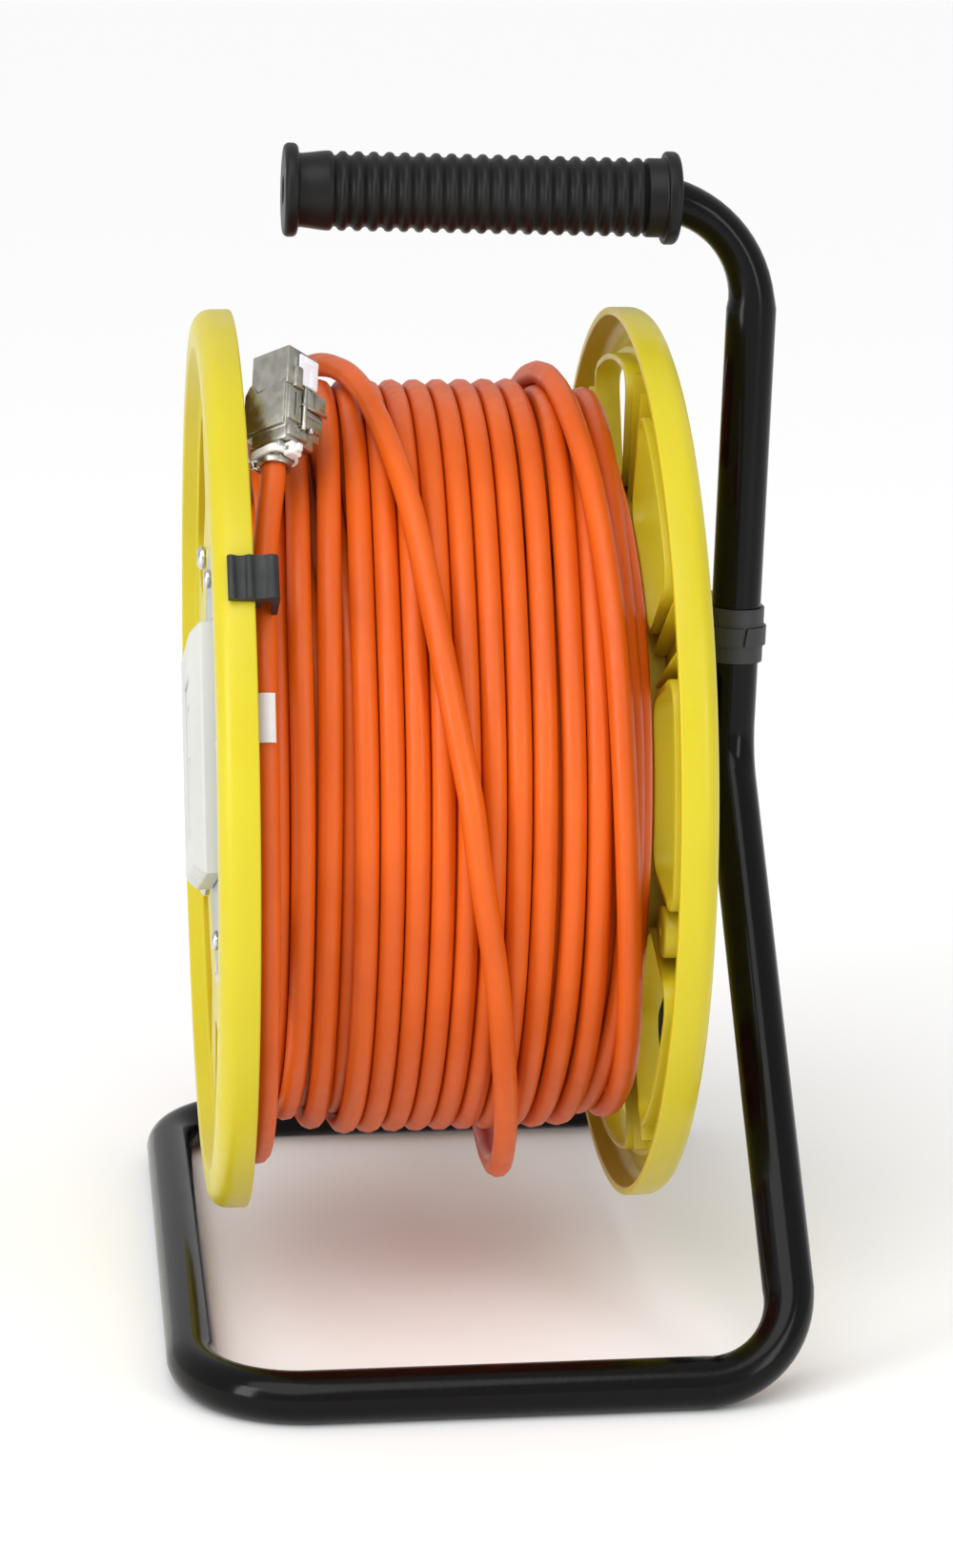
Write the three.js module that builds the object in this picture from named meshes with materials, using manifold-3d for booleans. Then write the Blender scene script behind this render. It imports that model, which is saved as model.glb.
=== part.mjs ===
// A portable data cable reel. A bent steel tube stands on the ground as a base loop, rises as two
// legs, and turns over the drum as a handle. The drum runs on one axle held by the legs. It carries
// the cable, and a two-port data outlet is let into its left flange.
//
// Millimetres, +Z up. Everything is drawn with the axle's centre at 0, 0, 0 and the axle along X,
// and the whole group is lifted at the end so that the base loop stands on Z = 0.

import * as THREE from 'three';
import { mergeVertices } from 'three/addons/utils/BufferGeometryUtils.js';
import Module from 'manifold-3d';

const wasm = await Module();
wasm.setup();

// ---------------------------------------------------------------- driving dimensions

const GAP = 0.3;
const TURN = 2 * Math.PI;

const AXLE_HEIGHT = 173.84;
const CENTRE_SHIFT_X = -11.729;

const TUBE_RADIUS = 8;
const TUBE_SIDES = 16;
const TUBE_BORE = 6.2;
const BORE_SIDES = 8;
const BASE_Z = TUBE_RADIUS - AXLE_HEIGHT;
const BASE_HALF_DEPTH = 138.4;
const BASE_LEFT_X = -81.2;
const BASE_RIGHT_X = 101.4;
const RUN_Y = 8.4;
const KNEE_X = 99.7;
const KNEE_Z = 0.9;
const HANDLE_END = [-42.1, -RUN_Y, 183.7];
const HANDLE_CORNER = [105, -RUN_Y, 180.1];
const REAR_RUN_TOP = [101.17, RUN_Y, 50.5];
const BASE_BEND = 28;
const BASE_LEFT_BEND = 34;
const KNEE_BEND = 32;
const HANDLE_BEND = 34;
const POST_LEAN = Math.atan2(HANDLE_CORNER[0] - KNEE_X, HANDLE_CORNER[2] - KNEE_Z);

const FLANGE_RADIUS = 145;
const FLANGE_WALL = 2.6;
const FLANGE_SIDES = 56;
const RIM_INNER_X = 61.3;
const RIM_OUTER_X = 73.3;
const WINDOW_COUNT = 8;
const WINDOW_FIRST = THREE.MathUtils.degToRad(6);
const WINDOW_HALF_ANGLE = THREE.MathUtils.degToRad(15.6);
const WINDOW_INNER = 92;
const WINDOW_OUTER = 128;
const WINDOW_CORNER = 7;
const LIP_WIDTH = 2.2;
const BOSS_ANGLE = THREE.MathUtils.degToRad(-16.5);
const BOSS_RING = 113;

const CORE_RADIUS = 88;
const CORE_WALL = 2.5;
const CORE_SCREW_RING = 80;
const CORE_LEFT_X = -65.2;
const CORE_RIGHT_X = 67.2;

const AXLE_RADIUS = 10;
const AXLE_LEFT_X = -21;
const BOLT_RADIUS = 4;
const SLEEVE_LEFT_X = -18;
const SLEEVE_RIGHT_X = 72.6;
const BUSH_OUTER = 15.5;
const PLATE_INNER_X = 87.2;
const PLATE_OUTER_X = 91.2;

const DISC_RADIUS = 70;
const OUTLET_TURN = THREE.MathUtils.degToRad(-18);
const OUTLET_BACK = 68.3;
const OUTLET_FRONT = 77;
const OUTLET_HALF = 40;
const PORT_OFFSET_Y = 9.5;
const PORT_OFFSET_X = -4;

const CABLE_RADIUS = 3.8;
const WINDING_RADIUS = 121.5;
const WINDING_HALF_WIDTH = 58.5;

const CLIP_ANGLE = THREE.MathUtils.degToRad(33.4);
const CLIP_WIDTH = 13.7;
const LABEL_ANGLE = THREE.MathUtils.degToRad(17.5);
const LABEL_RING = 131.8;
const LABEL_X = -58.6;
const LABEL_LENGTH = 14.5;

const KEYSTONE_TOP = [-47.5, -57.2, 135.7];
const KEYSTONE_TILT = [-35.5, 5, -44.2].map(THREE.MathUtils.degToRad);
const KEYSTONE_HALF = 7.6;
const KEYSTONE_UPPER = 12;
const KEYSTONE_JAWS = 27.5;
const KEYSTONE_LENGTH = 31;

// The free end of the cable, from where it leaves the winding to the keystone jack. Each point is
// [X, angle up from the front in degrees, distance from the axle]. It starts low behind the drum,
// sags off the winding at the bottom, crosses the front to the top, and comes round once more.
const TAIL_ROUTE = [
  [30, -165, 126.3], [28, -150, 126.3], [26, -134, 126.2], [24, -117, 128.2], [22.4, -100, 131.4],
  [21.4, -85, 133.8], [20.6, -72, 134.2], [19.6, -61, 131.4], [18, -50, 128.3], [15, -36.5, 126.3],
  [11.7, -23.9, 126.3], [8.2, -13.2, 126.3], [4.2, -2.5, 126.3], [1.6, 6.5, 126.3],
  [-3.9, 20.6, 126.3], [-7.2, 30.5, 126.3], [-12.2, 48, 126.4], [-16.8, 61, 126.4],
  [-22.2, 75.8, 127], [-28.5, 89, 127.2], [-36, 104, 126.8], [-43, 121, 126.2], [-48.2, 140, 126.3],
  [-52, 160, 126.3], [-54.6, 182, 126.3], [-56.2, 207, 126.3], [-57, 232, 126.4], [-57.2, 258, 126.8],
  [-57.2, 284, 127.4], [-57.4, 308, 128], [-57.9, 328, 129.2], [-58.4, 346, 130.6],
  [-58.6, 362, 131.5], [-58.6, 378.5, 131.8], [-58.4, 386, 131.5], [-58, 394, 130.9],
  [-57, 400, 130.4], [-55.2, 406.5, 130.4], [-53.9, 410.2, 131.2], [-53.3, 412.3, 132.6],
  [-53, 413.8, 133.7],
];

// ---------------------------------------------------------------- materials

function material(colour, roughness, metalness = 0) {
  return new THREE.MeshStandardMaterial({ color: colour, roughness, metalness });
}

const frameBlack = material(0x0a0a0a, 0.25);
const gripRubber = material(0x141414, 0.6);
const collarPlastic = material(0x232628, 0.6);
const flangeYellow = material(0xf0e64b, 0.4);
const coreYellow = material(0xd8cc3c, 0.5);
const cableOrange = material(0xf06e1e, 0.5);
const clipCharcoal = material(0x3c4042, 0.55);
const outletGrey = material(0xdee0da, 0.45);
const discGrey = material(0x8c8f90, 0.5);
const labelWhite = material(0xe6e3e0, 0.5);
const keystoneMetal = material(0xa5a296, 0.35, 1);
const insertWhite = material(0xe8e6ee, 0.4);
const bareSteel = material(0x9a9c9e, 0.35, 1);
const zincScrew = material(0xb8bbbd, 0.3, 1);
const bushNylon = material(0xd9d6c8, 0.5);

// ---------------------------------------------------------------- geometry helpers

// Shared corners merged, collapsed triangles dropped, and faces turned outward.
function closed(source) {
  const plain = source.clone();
  plain.deleteAttribute('normal');
  plain.deleteAttribute('uv');
  const merged = mergeVertices(plain, 1e-4);
  const kept = [];
  const index = merged.index.array;
  for (let i = 0; i < index.length; i += 3) {
    const [a, b, c] = [index[i], index[i + 1], index[i + 2]];
    if (a !== b && b !== c && c !== a) kept.push(a, b, c);
  }
  if (enclosedVolume(merged.attributes.position, kept) < 0) kept.reverse();
  merged.setIndex(kept);
  merged.computeVertexNormals();
  return merged;
}

function enclosedVolume(position, index) {
  const [a, b, c] = [new THREE.Vector3(), new THREE.Vector3(), new THREE.Vector3()];
  let sum = 0;
  for (let i = 0; i < index.length; i += 3) {
    a.fromBufferAttribute(position, index[i]);
    b.fromBufferAttribute(position, index[i + 1]);
    c.fromBufferAttribute(position, index[i + 2]);
    sum += a.dot(b.cross(c)) / 6;
  }
  return sum;
}

function solid(geometry) {
  const shape = closed(geometry);
  const mesh = new wasm.Mesh({
    numProp: 3,
    vertProperties: new Float32Array(shape.attributes.position.array),
    triVerts: new Uint32Array(shape.index.array),
  });
  return new wasm.Manifold(mesh);
}

function geometryOf(manifold) {
  const mesh = manifold.getMesh();
  const geometry = new THREE.BufferGeometry();
  geometry.setAttribute('position', new THREE.BufferAttribute(new Float32Array(mesh.vertProperties), 3));
  geometry.setIndex(Array.from(mesh.triVerts));
  return geometry;
}

function joined(first, ...others) {
  return geometryOf(others.reduce((sum, other) => sum.add(solid(other)), solid(first)));
}

function cut(body, ...tools) {
  return geometryOf(tools.reduce((sum, tool) => sum.subtract(solid(tool)), solid(body)));
}

// A turned piece about the X axis. Its outline is a list of [X, radius].
function turned(outline, sides = 48) {
  const points = outline.map(([x, radius]) => new THREE.Vector2(radius, x));
  return new THREE.LatheGeometry(points, sides).rotateZ(-TURN / 4);
}

function ring(left, right, inner, outer, sides = 48) {
  return turned([[left, inner], [left, outer], [right, outer], [right, inner], [left, inner]], sides);
}

function rod(left, right, radius, sides = 12) {
  return turned([[left, 0], [left, radius], [right, radius], [right, 0]], sides);
}

function block(x0, x1, y0, y1, z0, z1) {
  const box = new THREE.BoxGeometry(x1 - x0, y1 - y0, z1 - z0);
  return box.translate((x0 + x1) / 2, (y0 + y1) / 2, (z0 + z1) / 2);
}

// A place on the drum: angle is measured up from the front.
function onDrum(x, angle, radius) {
  return new THREE.Vector3(x, -radius * Math.cos(angle), radius * Math.sin(angle));
}

// Moves a turned piece from the axle's line out to a line at that angle and distance.
function outTo(geometry, angle, radius) {
  const place = onDrum(0, angle, radius);
  return geometry.translate(place.x, place.y, place.z);
}

function quarterAngles(first) {
  return [0, 1, 2, 3].map((k) => first + (k * TURN) / 4);
}

// A path given as its own list of points and tangents, so straight runs take one step.
class PointPath extends THREE.Curve {
  constructor(points, tangents, settledIndex, settledNormal) {
    super();
    this.points = points;
    this.tangents = tangents;
    this.settledIndex = settledIndex;
    this.settledNormal = settledNormal;
  }

  getSpacedPoints() {
    return this.points;
  }

  computeFrenetFrames() {
    const count = this.points.length;
    const normals = new Array(count);
    normals[this.settledIndex] = this.settledNormal.clone();
    for (let i = this.settledIndex + 1; i < count; i += 1) {
      normals[i] = this.carried(normals[i - 1], i - 1, i);
    }
    for (let i = this.settledIndex - 1; i >= 0; i -= 1) {
      normals[i] = this.carried(normals[i + 1], i + 1, i);
    }
    const binormals = normals.map((normal, i) => this.tangents[i].clone().cross(normal).normalize());
    return { tangents: this.tangents, normals, binormals };
  }

  carried(normal, from, to) {
    const turn = new THREE.Quaternion().setFromUnitVectors(this.tangents[from], this.tangents[to]);
    return normal.clone().applyQuaternion(turn);
  }
}

// Straight runs between corners, with each corner rounded to its bend radius.
function bentPath(corners, bends, stepsPerBend) {
  const points = [corners[0].clone()];
  const tangents = [corners[1].clone().sub(corners[0]).normalize()];
  for (let i = 1; i < corners.length - 1; i += 1) {
    const before = corners[i].clone().sub(corners[i - 1]).normalize();
    const after = corners[i + 1].clone().sub(corners[i]).normalize();
    const sweep = before.angleTo(after);
    const axis = before.clone().cross(after).normalize();
    const setback = bends[i - 1] * Math.tan(sweep / 2);
    const start = corners[i].clone().addScaledVector(before, -setback);
    const toCentre = axis.clone().cross(before);
    const centre = start.clone().addScaledVector(toCentre, bends[i - 1]);
    for (let step = 0; step <= stepsPerBend; step += 1) {
      const angle = (sweep * step) / stepsPerBend;
      const arm = toCentre.clone().multiplyScalar(-bends[i - 1]).applyAxisAngle(axis, angle);
      points.push(centre.clone().add(arm));
      tangents.push(before.clone().applyAxisAngle(axis, angle));
    }
  }
  points.push(corners.at(-1).clone());
  tangents.push(tangents.at(-1).clone());
  return { points, tangents };
}

function polygon(sides, apothem) {
  const radius = apothem / Math.cos(Math.PI / sides);
  const corners = [];
  for (let k = 0; k < sides; k += 1) {
    const angle = ((k + 0.5) * TURN) / sides;
    corners.push(new THREE.Vector2(radius * Math.cos(angle), radius * Math.sin(angle)));
  }
  return corners;
}

function swept(path, section) {
  const options = { steps: path.points.length - 1, extrudePath: path, bevelEnabled: false };
  return new THREE.ExtrudeGeometry(section, options);
}

// A round solid cord along a smooth curve through its route's points.
function cordAlong(route, radius, sides, step) {
  const curve = new THREE.CatmullRomCurve3(route, false, 'centripetal');
  const steps = Math.max(2, Math.round(curve.getLength() / step));
  const section = new THREE.Shape(polygon(sides, radius * Math.cos(Math.PI / sides)));
  return new THREE.ExtrudeGeometry(section, { steps, extrudePath: curve, bevelEnabled: false });
}

function piece(parent, name, geometry, look) {
  const mesh = new THREE.Mesh(closed(geometry), look);
  mesh.name = name;
  parent.add(mesh);
}

// ---------------------------------------------------------------- frame

function frameTube() {
  const corners = [
    HANDLE_END,
    HANDLE_CORNER,
    [KNEE_X, -RUN_Y, KNEE_Z],
    [BASE_RIGHT_X, -BASE_HALF_DEPTH, BASE_Z],
    [BASE_LEFT_X, -BASE_HALF_DEPTH, BASE_Z],
    [BASE_LEFT_X, BASE_HALF_DEPTH, BASE_Z],
    [BASE_RIGHT_X, BASE_HALF_DEPTH, BASE_Z],
    [KNEE_X, RUN_Y, KNEE_Z],
    REAR_RUN_TOP,
  ].map((corner) => new THREE.Vector3(...corner));
  const baseBends = [BASE_BEND, BASE_LEFT_BEND, BASE_LEFT_BEND, BASE_BEND];
  const bends = [HANDLE_BEND, KNEE_BEND, ...baseBends, KNEE_BEND];
  const stepsPerBend = 5;
  const { points, tangents } = bentPath(corners, bends, stepsPerBend);
  const frontBaseRun = 3 * (stepsPerBend + 1);
  const path = new PointPath(points, tangents, frontBaseRun, new THREE.Vector3(0, 0, 1));
  const section = new THREE.Shape(polygon(TUBE_SIDES, TUBE_RADIUS));
  section.holes.push(new THREE.Path(polygon(BORE_SIDES, TUBE_BORE)));
  return swept(path, section);
}

// The handle's sleeve: an end flange, a neck, ribs and a second flange. Its bore widens at the right
// end, where the tube starts its bend.
function grip() {
  const [left, leftFlange, right, rightFlange] = [-3.3, 1, 121.5, 117];
  const [ribRadius, grooveRadius, flangeRadius] = [12.4, 11.3, 14.6];
  const [ribsFrom, ribPitch, ribCount] = [12.6, 4.9, 20];
  const [bore, wideBore, boreWidensAt, endHole] = [8.5, 9.8, 109, 2];
  const chamfer = 1.2;
  const outline = [[left, endHole], [left, flangeRadius - chamfer], [left + chamfer, flangeRadius]];
  outline.push([leftFlange - chamfer, flangeRadius], [leftFlange, flangeRadius - chamfer]);
  outline.push([leftFlange, grooveRadius], [leftFlange + 5, ribRadius]);
  for (let k = 0; k < ribCount; k += 1) {
    const groove = ribsFrom + k * ribPitch;
    outline.push([groove, grooveRadius], [groove + ribPitch / 2, ribRadius]);
  }
  const lastGroove = ribsFrom + ribCount * ribPitch;
  outline.push([lastGroove, grooveRadius], [lastGroove + 1.5, ribRadius], [rightFlange, ribRadius]);
  outline.push([rightFlange, flangeRadius - chamfer], [rightFlange + chamfer, flangeRadius]);
  outline.push([right - chamfer, flangeRadius], [right, flangeRadius - chamfer]);
  outline.push([right, wideBore], [boreWidensAt, bore], [-GAP, bore], [-GAP, endHole], [left, endHole]);
  return turned(outline, 14);
}

// A plate drawn in Y and Z with its thickness along X.
function facingX(geometry) {
  return geometry.rotateX(TURN / 4).rotateZ(TURN / 4);
}

// A slot-shaped loop round both tube runs, its ends a margin outside the tubes.
function slotLoop(PathKind, margin) {
  const loop = new PathKind();
  loop.absarc(0, RUN_Y, TUBE_RADIUS + margin, 0, Math.PI, false);
  loop.absarc(0, -RUN_Y, TUBE_RADIUS + margin, Math.PI, TURN, false);
  return loop;
}

function raised(shape, height) {
  return new THREE.ExtrudeGeometry(shape, { depth: height, bevelEnabled: false, curveSegments: 8 });
}

// The clamp that holds the two tube runs together, and the thin strap round its middle.
function legCollar(margin, height) {
  const shape = slotLoop(THREE.Shape, margin);
  const clearance = 0.1;
  for (const y of [RUN_Y, -RUN_Y]) {
    const hole = new THREE.Path();
    hole.absarc(0, y, TUBE_RADIUS + clearance + GAP, 0, TURN, true);
    shape.holes.push(hole);
  }
  return raised(shape, height);
}

function collarBand(innerMargin, outerMargin, height) {
  const shape = slotLoop(THREE.Shape, outerMargin);
  shape.holes.push(slotLoop(THREE.Path, innerMargin));
  return raised(shape, height);
}

function axlePlate() {
  const shape = new THREE.Shape(
    [[-18, -16], [-10, -22], [10, -22], [18, -16], [18, 26], [12, 30], [-12, 30], [-18, 26]]
      .map(([y, z]) => new THREE.Vector2(y, z)),
  );
  return facingX(raised(shape, PLATE_OUTER_X - PLATE_INNER_X)).translate(PLATE_INNER_X, 0, 0);
}

function axle() {
  const [left, right] = [AXLE_LEFT_X, PLATE_INNER_X - GAP];
  const boreEnd = left + 22;
  const outline = [[boreEnd, 0], [boreEnd, BOLT_RADIUS + GAP], [left, BOLT_RADIUS + GAP]];
  outline.push([left, AXLE_RADIUS], [right, AXLE_RADIUS], [right, 0]);
  return turned(outline, 24);
}

function axleWasher() {
  const [thickness, outer] = [2, 15];
  const right = AXLE_LEFT_X - GAP;
  return ring(right - thickness, right, BOLT_RADIUS + 0.5, outer, 24);
}

function axleBolt() {
  const headFace = AXLE_LEFT_X - 2 * GAP - 2;
  const [headHeight, headRadius, shankEnd] = [5.2, 7.5, AXLE_LEFT_X + 19];
  const head = rod(headFace - headHeight, headFace, headRadius, 6);
  return joined(head, rod(headFace - 0.4, shankEnd, BOLT_RADIUS, 12));
}

function buildFrame(parent) {
  piece(parent, 'frame_tube', frameTube(), frameBlack);

  const handle = new THREE.Group();
  handle.position.set(...HANDLE_END);
  handle.rotation.y = Math.atan2(HANDLE_END[2] - HANDLE_CORNER[2], HANDLE_CORNER[0] - HANDLE_END[0]);
  piece(handle, 'handle_grip', grip(), gripRubber);
  parent.add(handle);

  const collar = new THREE.Group();
  const collarBottom = 32;
  collar.position.set(KNEE_X + Math.tan(POST_LEAN) * (collarBottom - KNEE_Z), 0, collarBottom);
  collar.rotation.y = POST_LEAN;
  const [collarHeight, bandBottom, bandHeight, margin, bandMargin] = [17.6, 5.6, 6, 1.2, 2.1];
  piece(collar, 'leg_collar', legCollar(margin, collarHeight), collarPlastic);
  const band = collarBand(margin + GAP, bandMargin, bandHeight).translate(0, 0, bandBottom);
  piece(collar, 'collar_band', band, collarPlastic);
  parent.add(collar);

  piece(parent, 'axle_plate', axlePlate(), frameBlack);
  piece(parent, 'axle', axle(), bareSteel);
  const spacer = ring(SLEEVE_RIGHT_X + 3.1, PLATE_INNER_X - GAP, AXLE_RADIUS + GAP, 14, 24);
  piece(parent, 'hub_spacer', spacer, bushNylon);
  piece(parent, 'axle_washer', axleWasher(), zincScrew);
  piece(parent, 'axle_bolt', axleBolt(), zincScrew);
}

// ---------------------------------------------------------------- drum

// A kidney-shaped outline between two radii, centred on an angle, with rounded corners.
function kidney(centreAngle, grow) {
  const inner = WINDOW_INNER - grow;
  const outer = WINDOW_OUTER + grow;
  const corner = WINDOW_CORNER + grow;
  const outline = [];
  const cornerSteps = 2;
  const sideLimit = (radius) => WINDOW_HALF_ANGLE + grow / radius;
  const addCorner = (radius, side, startTurn) => {
    const inset = radius === outer ? -corner : corner;
    const centreRadius = radius + inset;
    const bearing = side * (sideLimit(centreRadius) - corner / centreRadius);
    const [cx, cy] = [centreRadius * Math.cos(bearing), centreRadius * Math.sin(bearing)];
    for (let k = 0; k <= cornerSteps; k += 1) {
      const angle = bearing + startTurn + ((k / cornerSteps) * TURN) / 4;
      outline.push([cx + corner * Math.cos(angle), cy + corner * Math.sin(angle)]);
    }
  };
  const addArc = (radius, side) => {
    for (const share of [0.5, 0, -0.5]) {
      const bearing = side * share * WINDOW_HALF_ANGLE;
      outline.push([radius * Math.cos(bearing), radius * Math.sin(bearing)]);
    }
  };
  addCorner(outer, 1, 0);
  addCorner(inner, 1, TURN / 4);
  addArc(inner, 1);
  addCorner(inner, -1, TURN / 2);
  addCorner(outer, -1, (3 * TURN) / 4);
  addArc(outer, -1);
  const shape = outline.map(([along, across]) => {
    const angle = centreAngle + Math.atan2(across, along);
    const radius = Math.hypot(along, across);
    return new THREE.Vector2(-radius * Math.cos(angle), radius * Math.sin(angle));
  });
  return new THREE.Shape(shape);
}

// A flat shape in Y and Z, given thickness along X.
function slab(shape, left, right) {
  return facingX(raised(shape, right - left)).translate(left, 0, 0);
}

// One moulded flange. side is -1 for the left one and 1 for the right one. The dish is the flat web,
// set in from the rim, and the rim is a channel that is open towards the winding.
function flange(side, dims) {
  const { webInner, webOuter, fillet, lipEnd, centreHole, recess } = dims;
  const skirt = FLANGE_RADIUS - FLANGE_WALL;
  const crown = RIM_OUTER_X - FLANGE_WALL;
  const outline = [[webOuter, DISC_RADIUS + 1], [webOuter, 130.5], [RIM_OUTER_X, 133]];
  const filletSteps = 3;
  for (let k = 0; k <= filletSteps; k += 1) {
    const angle = ((k / filletSteps) * TURN) / 4;
    const x = RIM_OUTER_X - fillet + fillet * Math.cos(angle);
    outline.push([x, FLANGE_RADIUS - fillet + fillet * Math.sin(angle)]);
  }
  outline.push([RIM_INNER_X, FLANGE_RADIUS], [RIM_INNER_X, skirt]);
  outline.push([crown - fillet / 2, skirt], [crown, skirt - fillet / 2]);
  outline.push([crown, 134.6], [webInner, 132.2]);
  outline.push([webInner, centreHole], [webOuter - recess, centreHole]);
  outline.push([webOuter - recess, DISC_RADIUS + 1], [webOuter, DISC_RADIUS + 1]);
  let body = solid(turned(outline.map(([x, radius]) => [side * x, radius]), FLANGE_SIDES));
  const between = (a, b) => [Math.min(side * a, side * b), Math.max(side * a, side * b)];
  const past = 5;
  for (let k = 0; k < WINDOW_COUNT; k += 1) {
    const angle = WINDOW_FIRST + (k * TURN) / WINDOW_COUNT;
    body = body.add(solid(slab(kidney(angle, LIP_WIDTH), ...between(lipEnd, webOuter - 1))));
    body = body.subtract(solid(slab(kidney(angle, 0), ...between(lipEnd - past, webOuter + past))));
  }
  const [bossRadius, socketRadius, socketWall] = [8, 5.5, 2.8];
  const boss = rod(...between(lipEnd + 0.2, webOuter - 1), bossRadius, 20);
  const socket = rod(...between(lipEnd + 0.2 + socketWall, webOuter + past), socketRadius, 16);
  body = body.add(solid(outTo(boss, BOSS_ANGLE, BOSS_RING)));
  body = body.subtract(solid(outTo(socket, BOSS_ANGLE, BOSS_RING)));
  const drilled = [{ ring: CORE_SCREW_RING, radius: 2.5, first: TURN / 8 }, dims.holes];
  for (const { ring: distance, radius, first } of drilled) {
    for (const angle of quarterAngles(first)) {
      const drill = rod(...between(webInner - past, webOuter + past), radius, 8);
      body = body.subtract(solid(outTo(drill, angle, distance)));
    }
  }
  return geometryOf(body);
}

const DISC_SCREW_RING = 59;
const DISC_SCREW_FIRST = -OUTLET_TURN;
const HUB_SCREW_RING = 27;

function leftFlange() {
  return flange(-1, {
    webInner: 65.5, webOuter: 68, fillet: 8, lipEnd: 63, centreHole: 46, recess: 1.8,
    holes: { ring: DISC_SCREW_RING, radius: 1.9, first: DISC_SCREW_FIRST },
  });
}

function rightFlange() {
  return flange(1, {
    webInner: 67.5, webOuter: 70, fillet: 5.5, lipEnd: 61.7, centreHole: 16.4, recess: 0.5,
    holes: { ring: HUB_SCREW_RING, radius: 2.2, first: 0 },
  });
}

const LEAD_X = -50;
const LEAD_HOLE = 5;

function drumCore() {
  const inner = CORE_RADIUS - CORE_WALL;
  let body = solid(ring(CORE_LEFT_X, CORE_RIGHT_X, inner, CORE_RADIUS, 48));
  const [bossLength, bossRadius, drillDepth, drillRadius] = [18, 6, 14, 2.4];
  const inOrder = (a, b) => [Math.min(a, b), Math.max(a, b)];
  for (const angle of quarterAngles(TURN / 8)) {
    for (const [end, inward] of [[CORE_LEFT_X, 1], [CORE_RIGHT_X, -1]]) {
      const boss = rod(...inOrder(end, end + inward * bossLength), bossRadius, 8);
      const drill = rod(...inOrder(end - inward, end + inward * drillDepth), drillRadius, 8);
      body = body.add(solid(outTo(boss, angle, CORE_SCREW_RING + 0.8)));
      body = body.subtract(solid(outTo(drill, angle, CORE_SCREW_RING)));
    }
  }
  const leadDrill = new THREE.CylinderGeometry(LEAD_HOLE, LEAD_HOLE, 12, 16);
  leadDrill.translate(0, CORE_RADIUS, 0).rotateX(Math.PI + OUTLET_TURN).translate(LEAD_X, 0, 0);
  return geometryOf(body.subtract(solid(leadDrill)));
}

const SLEEVE_BORE = 12.7;

// The sleeve that turns on the bushes, with the disc that screws to the right flange.
function hubSleeve() {
  const [sleeveRadius, discRadius] = [16, 33];
  const sleeve = ring(SLEEVE_LEFT_X, SLEEVE_RIGHT_X, SLEEVE_BORE, sleeveRadius, 24);
  const disc = ring(64, CORE_RIGHT_X, sleeveRadius - 1, discRadius, 24);
  const holes = quarterAngles(0).map((angle) => outTo(rod(60, 70, 1.8), angle, HUB_SCREW_RING));
  return cut(joined(sleeve, disc), ...holes);
}

// A flanged plain bush. end is the sleeve's end face, and inward points into the sleeve.
function bush(end, inward) {
  const face = end - inward * GAP;
  const outside = face - inward * 2.2;
  const inside = end + inward * 12;
  const [bore, fit] = [AXLE_RADIUS + 0.2, SLEEVE_BORE - 0.4];
  const outline = [[outside, bore], [outside, BUSH_OUTER], [face, BUSH_OUTER], [face, fit]];
  outline.push([inside, fit], [inside, bore], [outside, bore]);
  return turned(outline, 24);
}

// A pan-head screw along X. face is the surface under its head, and out is the way the head points.
function panScrew(face, out, size) {
  const { headRadius, headHeight, shankRadius, length } = size;
  const at = (distance) => face + out * distance;
  const outline = [[at(-length), 0], [at(-length), shankRadius], [at(0), shankRadius], [at(0), headRadius]];
  outline.push([at(headHeight * 0.6), headRadius], [at(headHeight), headRadius * 0.6], [at(headHeight), 0]);
  return turned(outline, 8);
}

const FLANGE_SCREW = { headRadius: 4, headHeight: 2.6, shankRadius: 1.9, length: 14 };
const HUB_SCREW = { headRadius: 3.6, headHeight: 2.4, shankRadius: 1.5, length: 5.4 };
const DISC_SCREW = { headRadius: 3.2, headHeight: 2.2, shankRadius: 1.5, length: 7 };
const CARRIER_SCREW = { headRadius: 3.1, headHeight: 2, shankRadius: 1.4, length: 5 };

function screwSet(parent, name, first, distance, face, size) {
  quarterAngles(first).forEach((angle, k) => {
    const screw = panScrew(face, Math.sign(face), size);
    piece(parent, `${name}_${k + 1}`, outTo(screw, angle, distance), zincScrew);
  });
}

// A hook over the left rim. Its short leg goes down inside the rim, beside the cable's free end.
function cableClip() {
  const outline = [
    [-69.2, 145.5], [-61, 145.5], [-61, 142], [-64, 141.9], [-64, 139.9], [-59.4, 139.9], [-59.4, 145.3],
    [-56.6, 145.3], [-56.3, 134.6], [-54.4, 134.6], [-54.2, 146.8], [-55.6, 148.4], [-68.4, 148.2],
    [-69.2, 147.3],
  ];
  const shape = new THREE.Shape(outline.map(([x, radius]) => new THREE.Vector2(x, radius)));
  const clip = new THREE.ExtrudeGeometry(shape, { depth: CLIP_WIDTH, bevelEnabled: false });
  return clip.translate(0, 0, -CLIP_WIDTH / 2).rotateX(Math.PI - CLIP_ANGLE);
}

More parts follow.
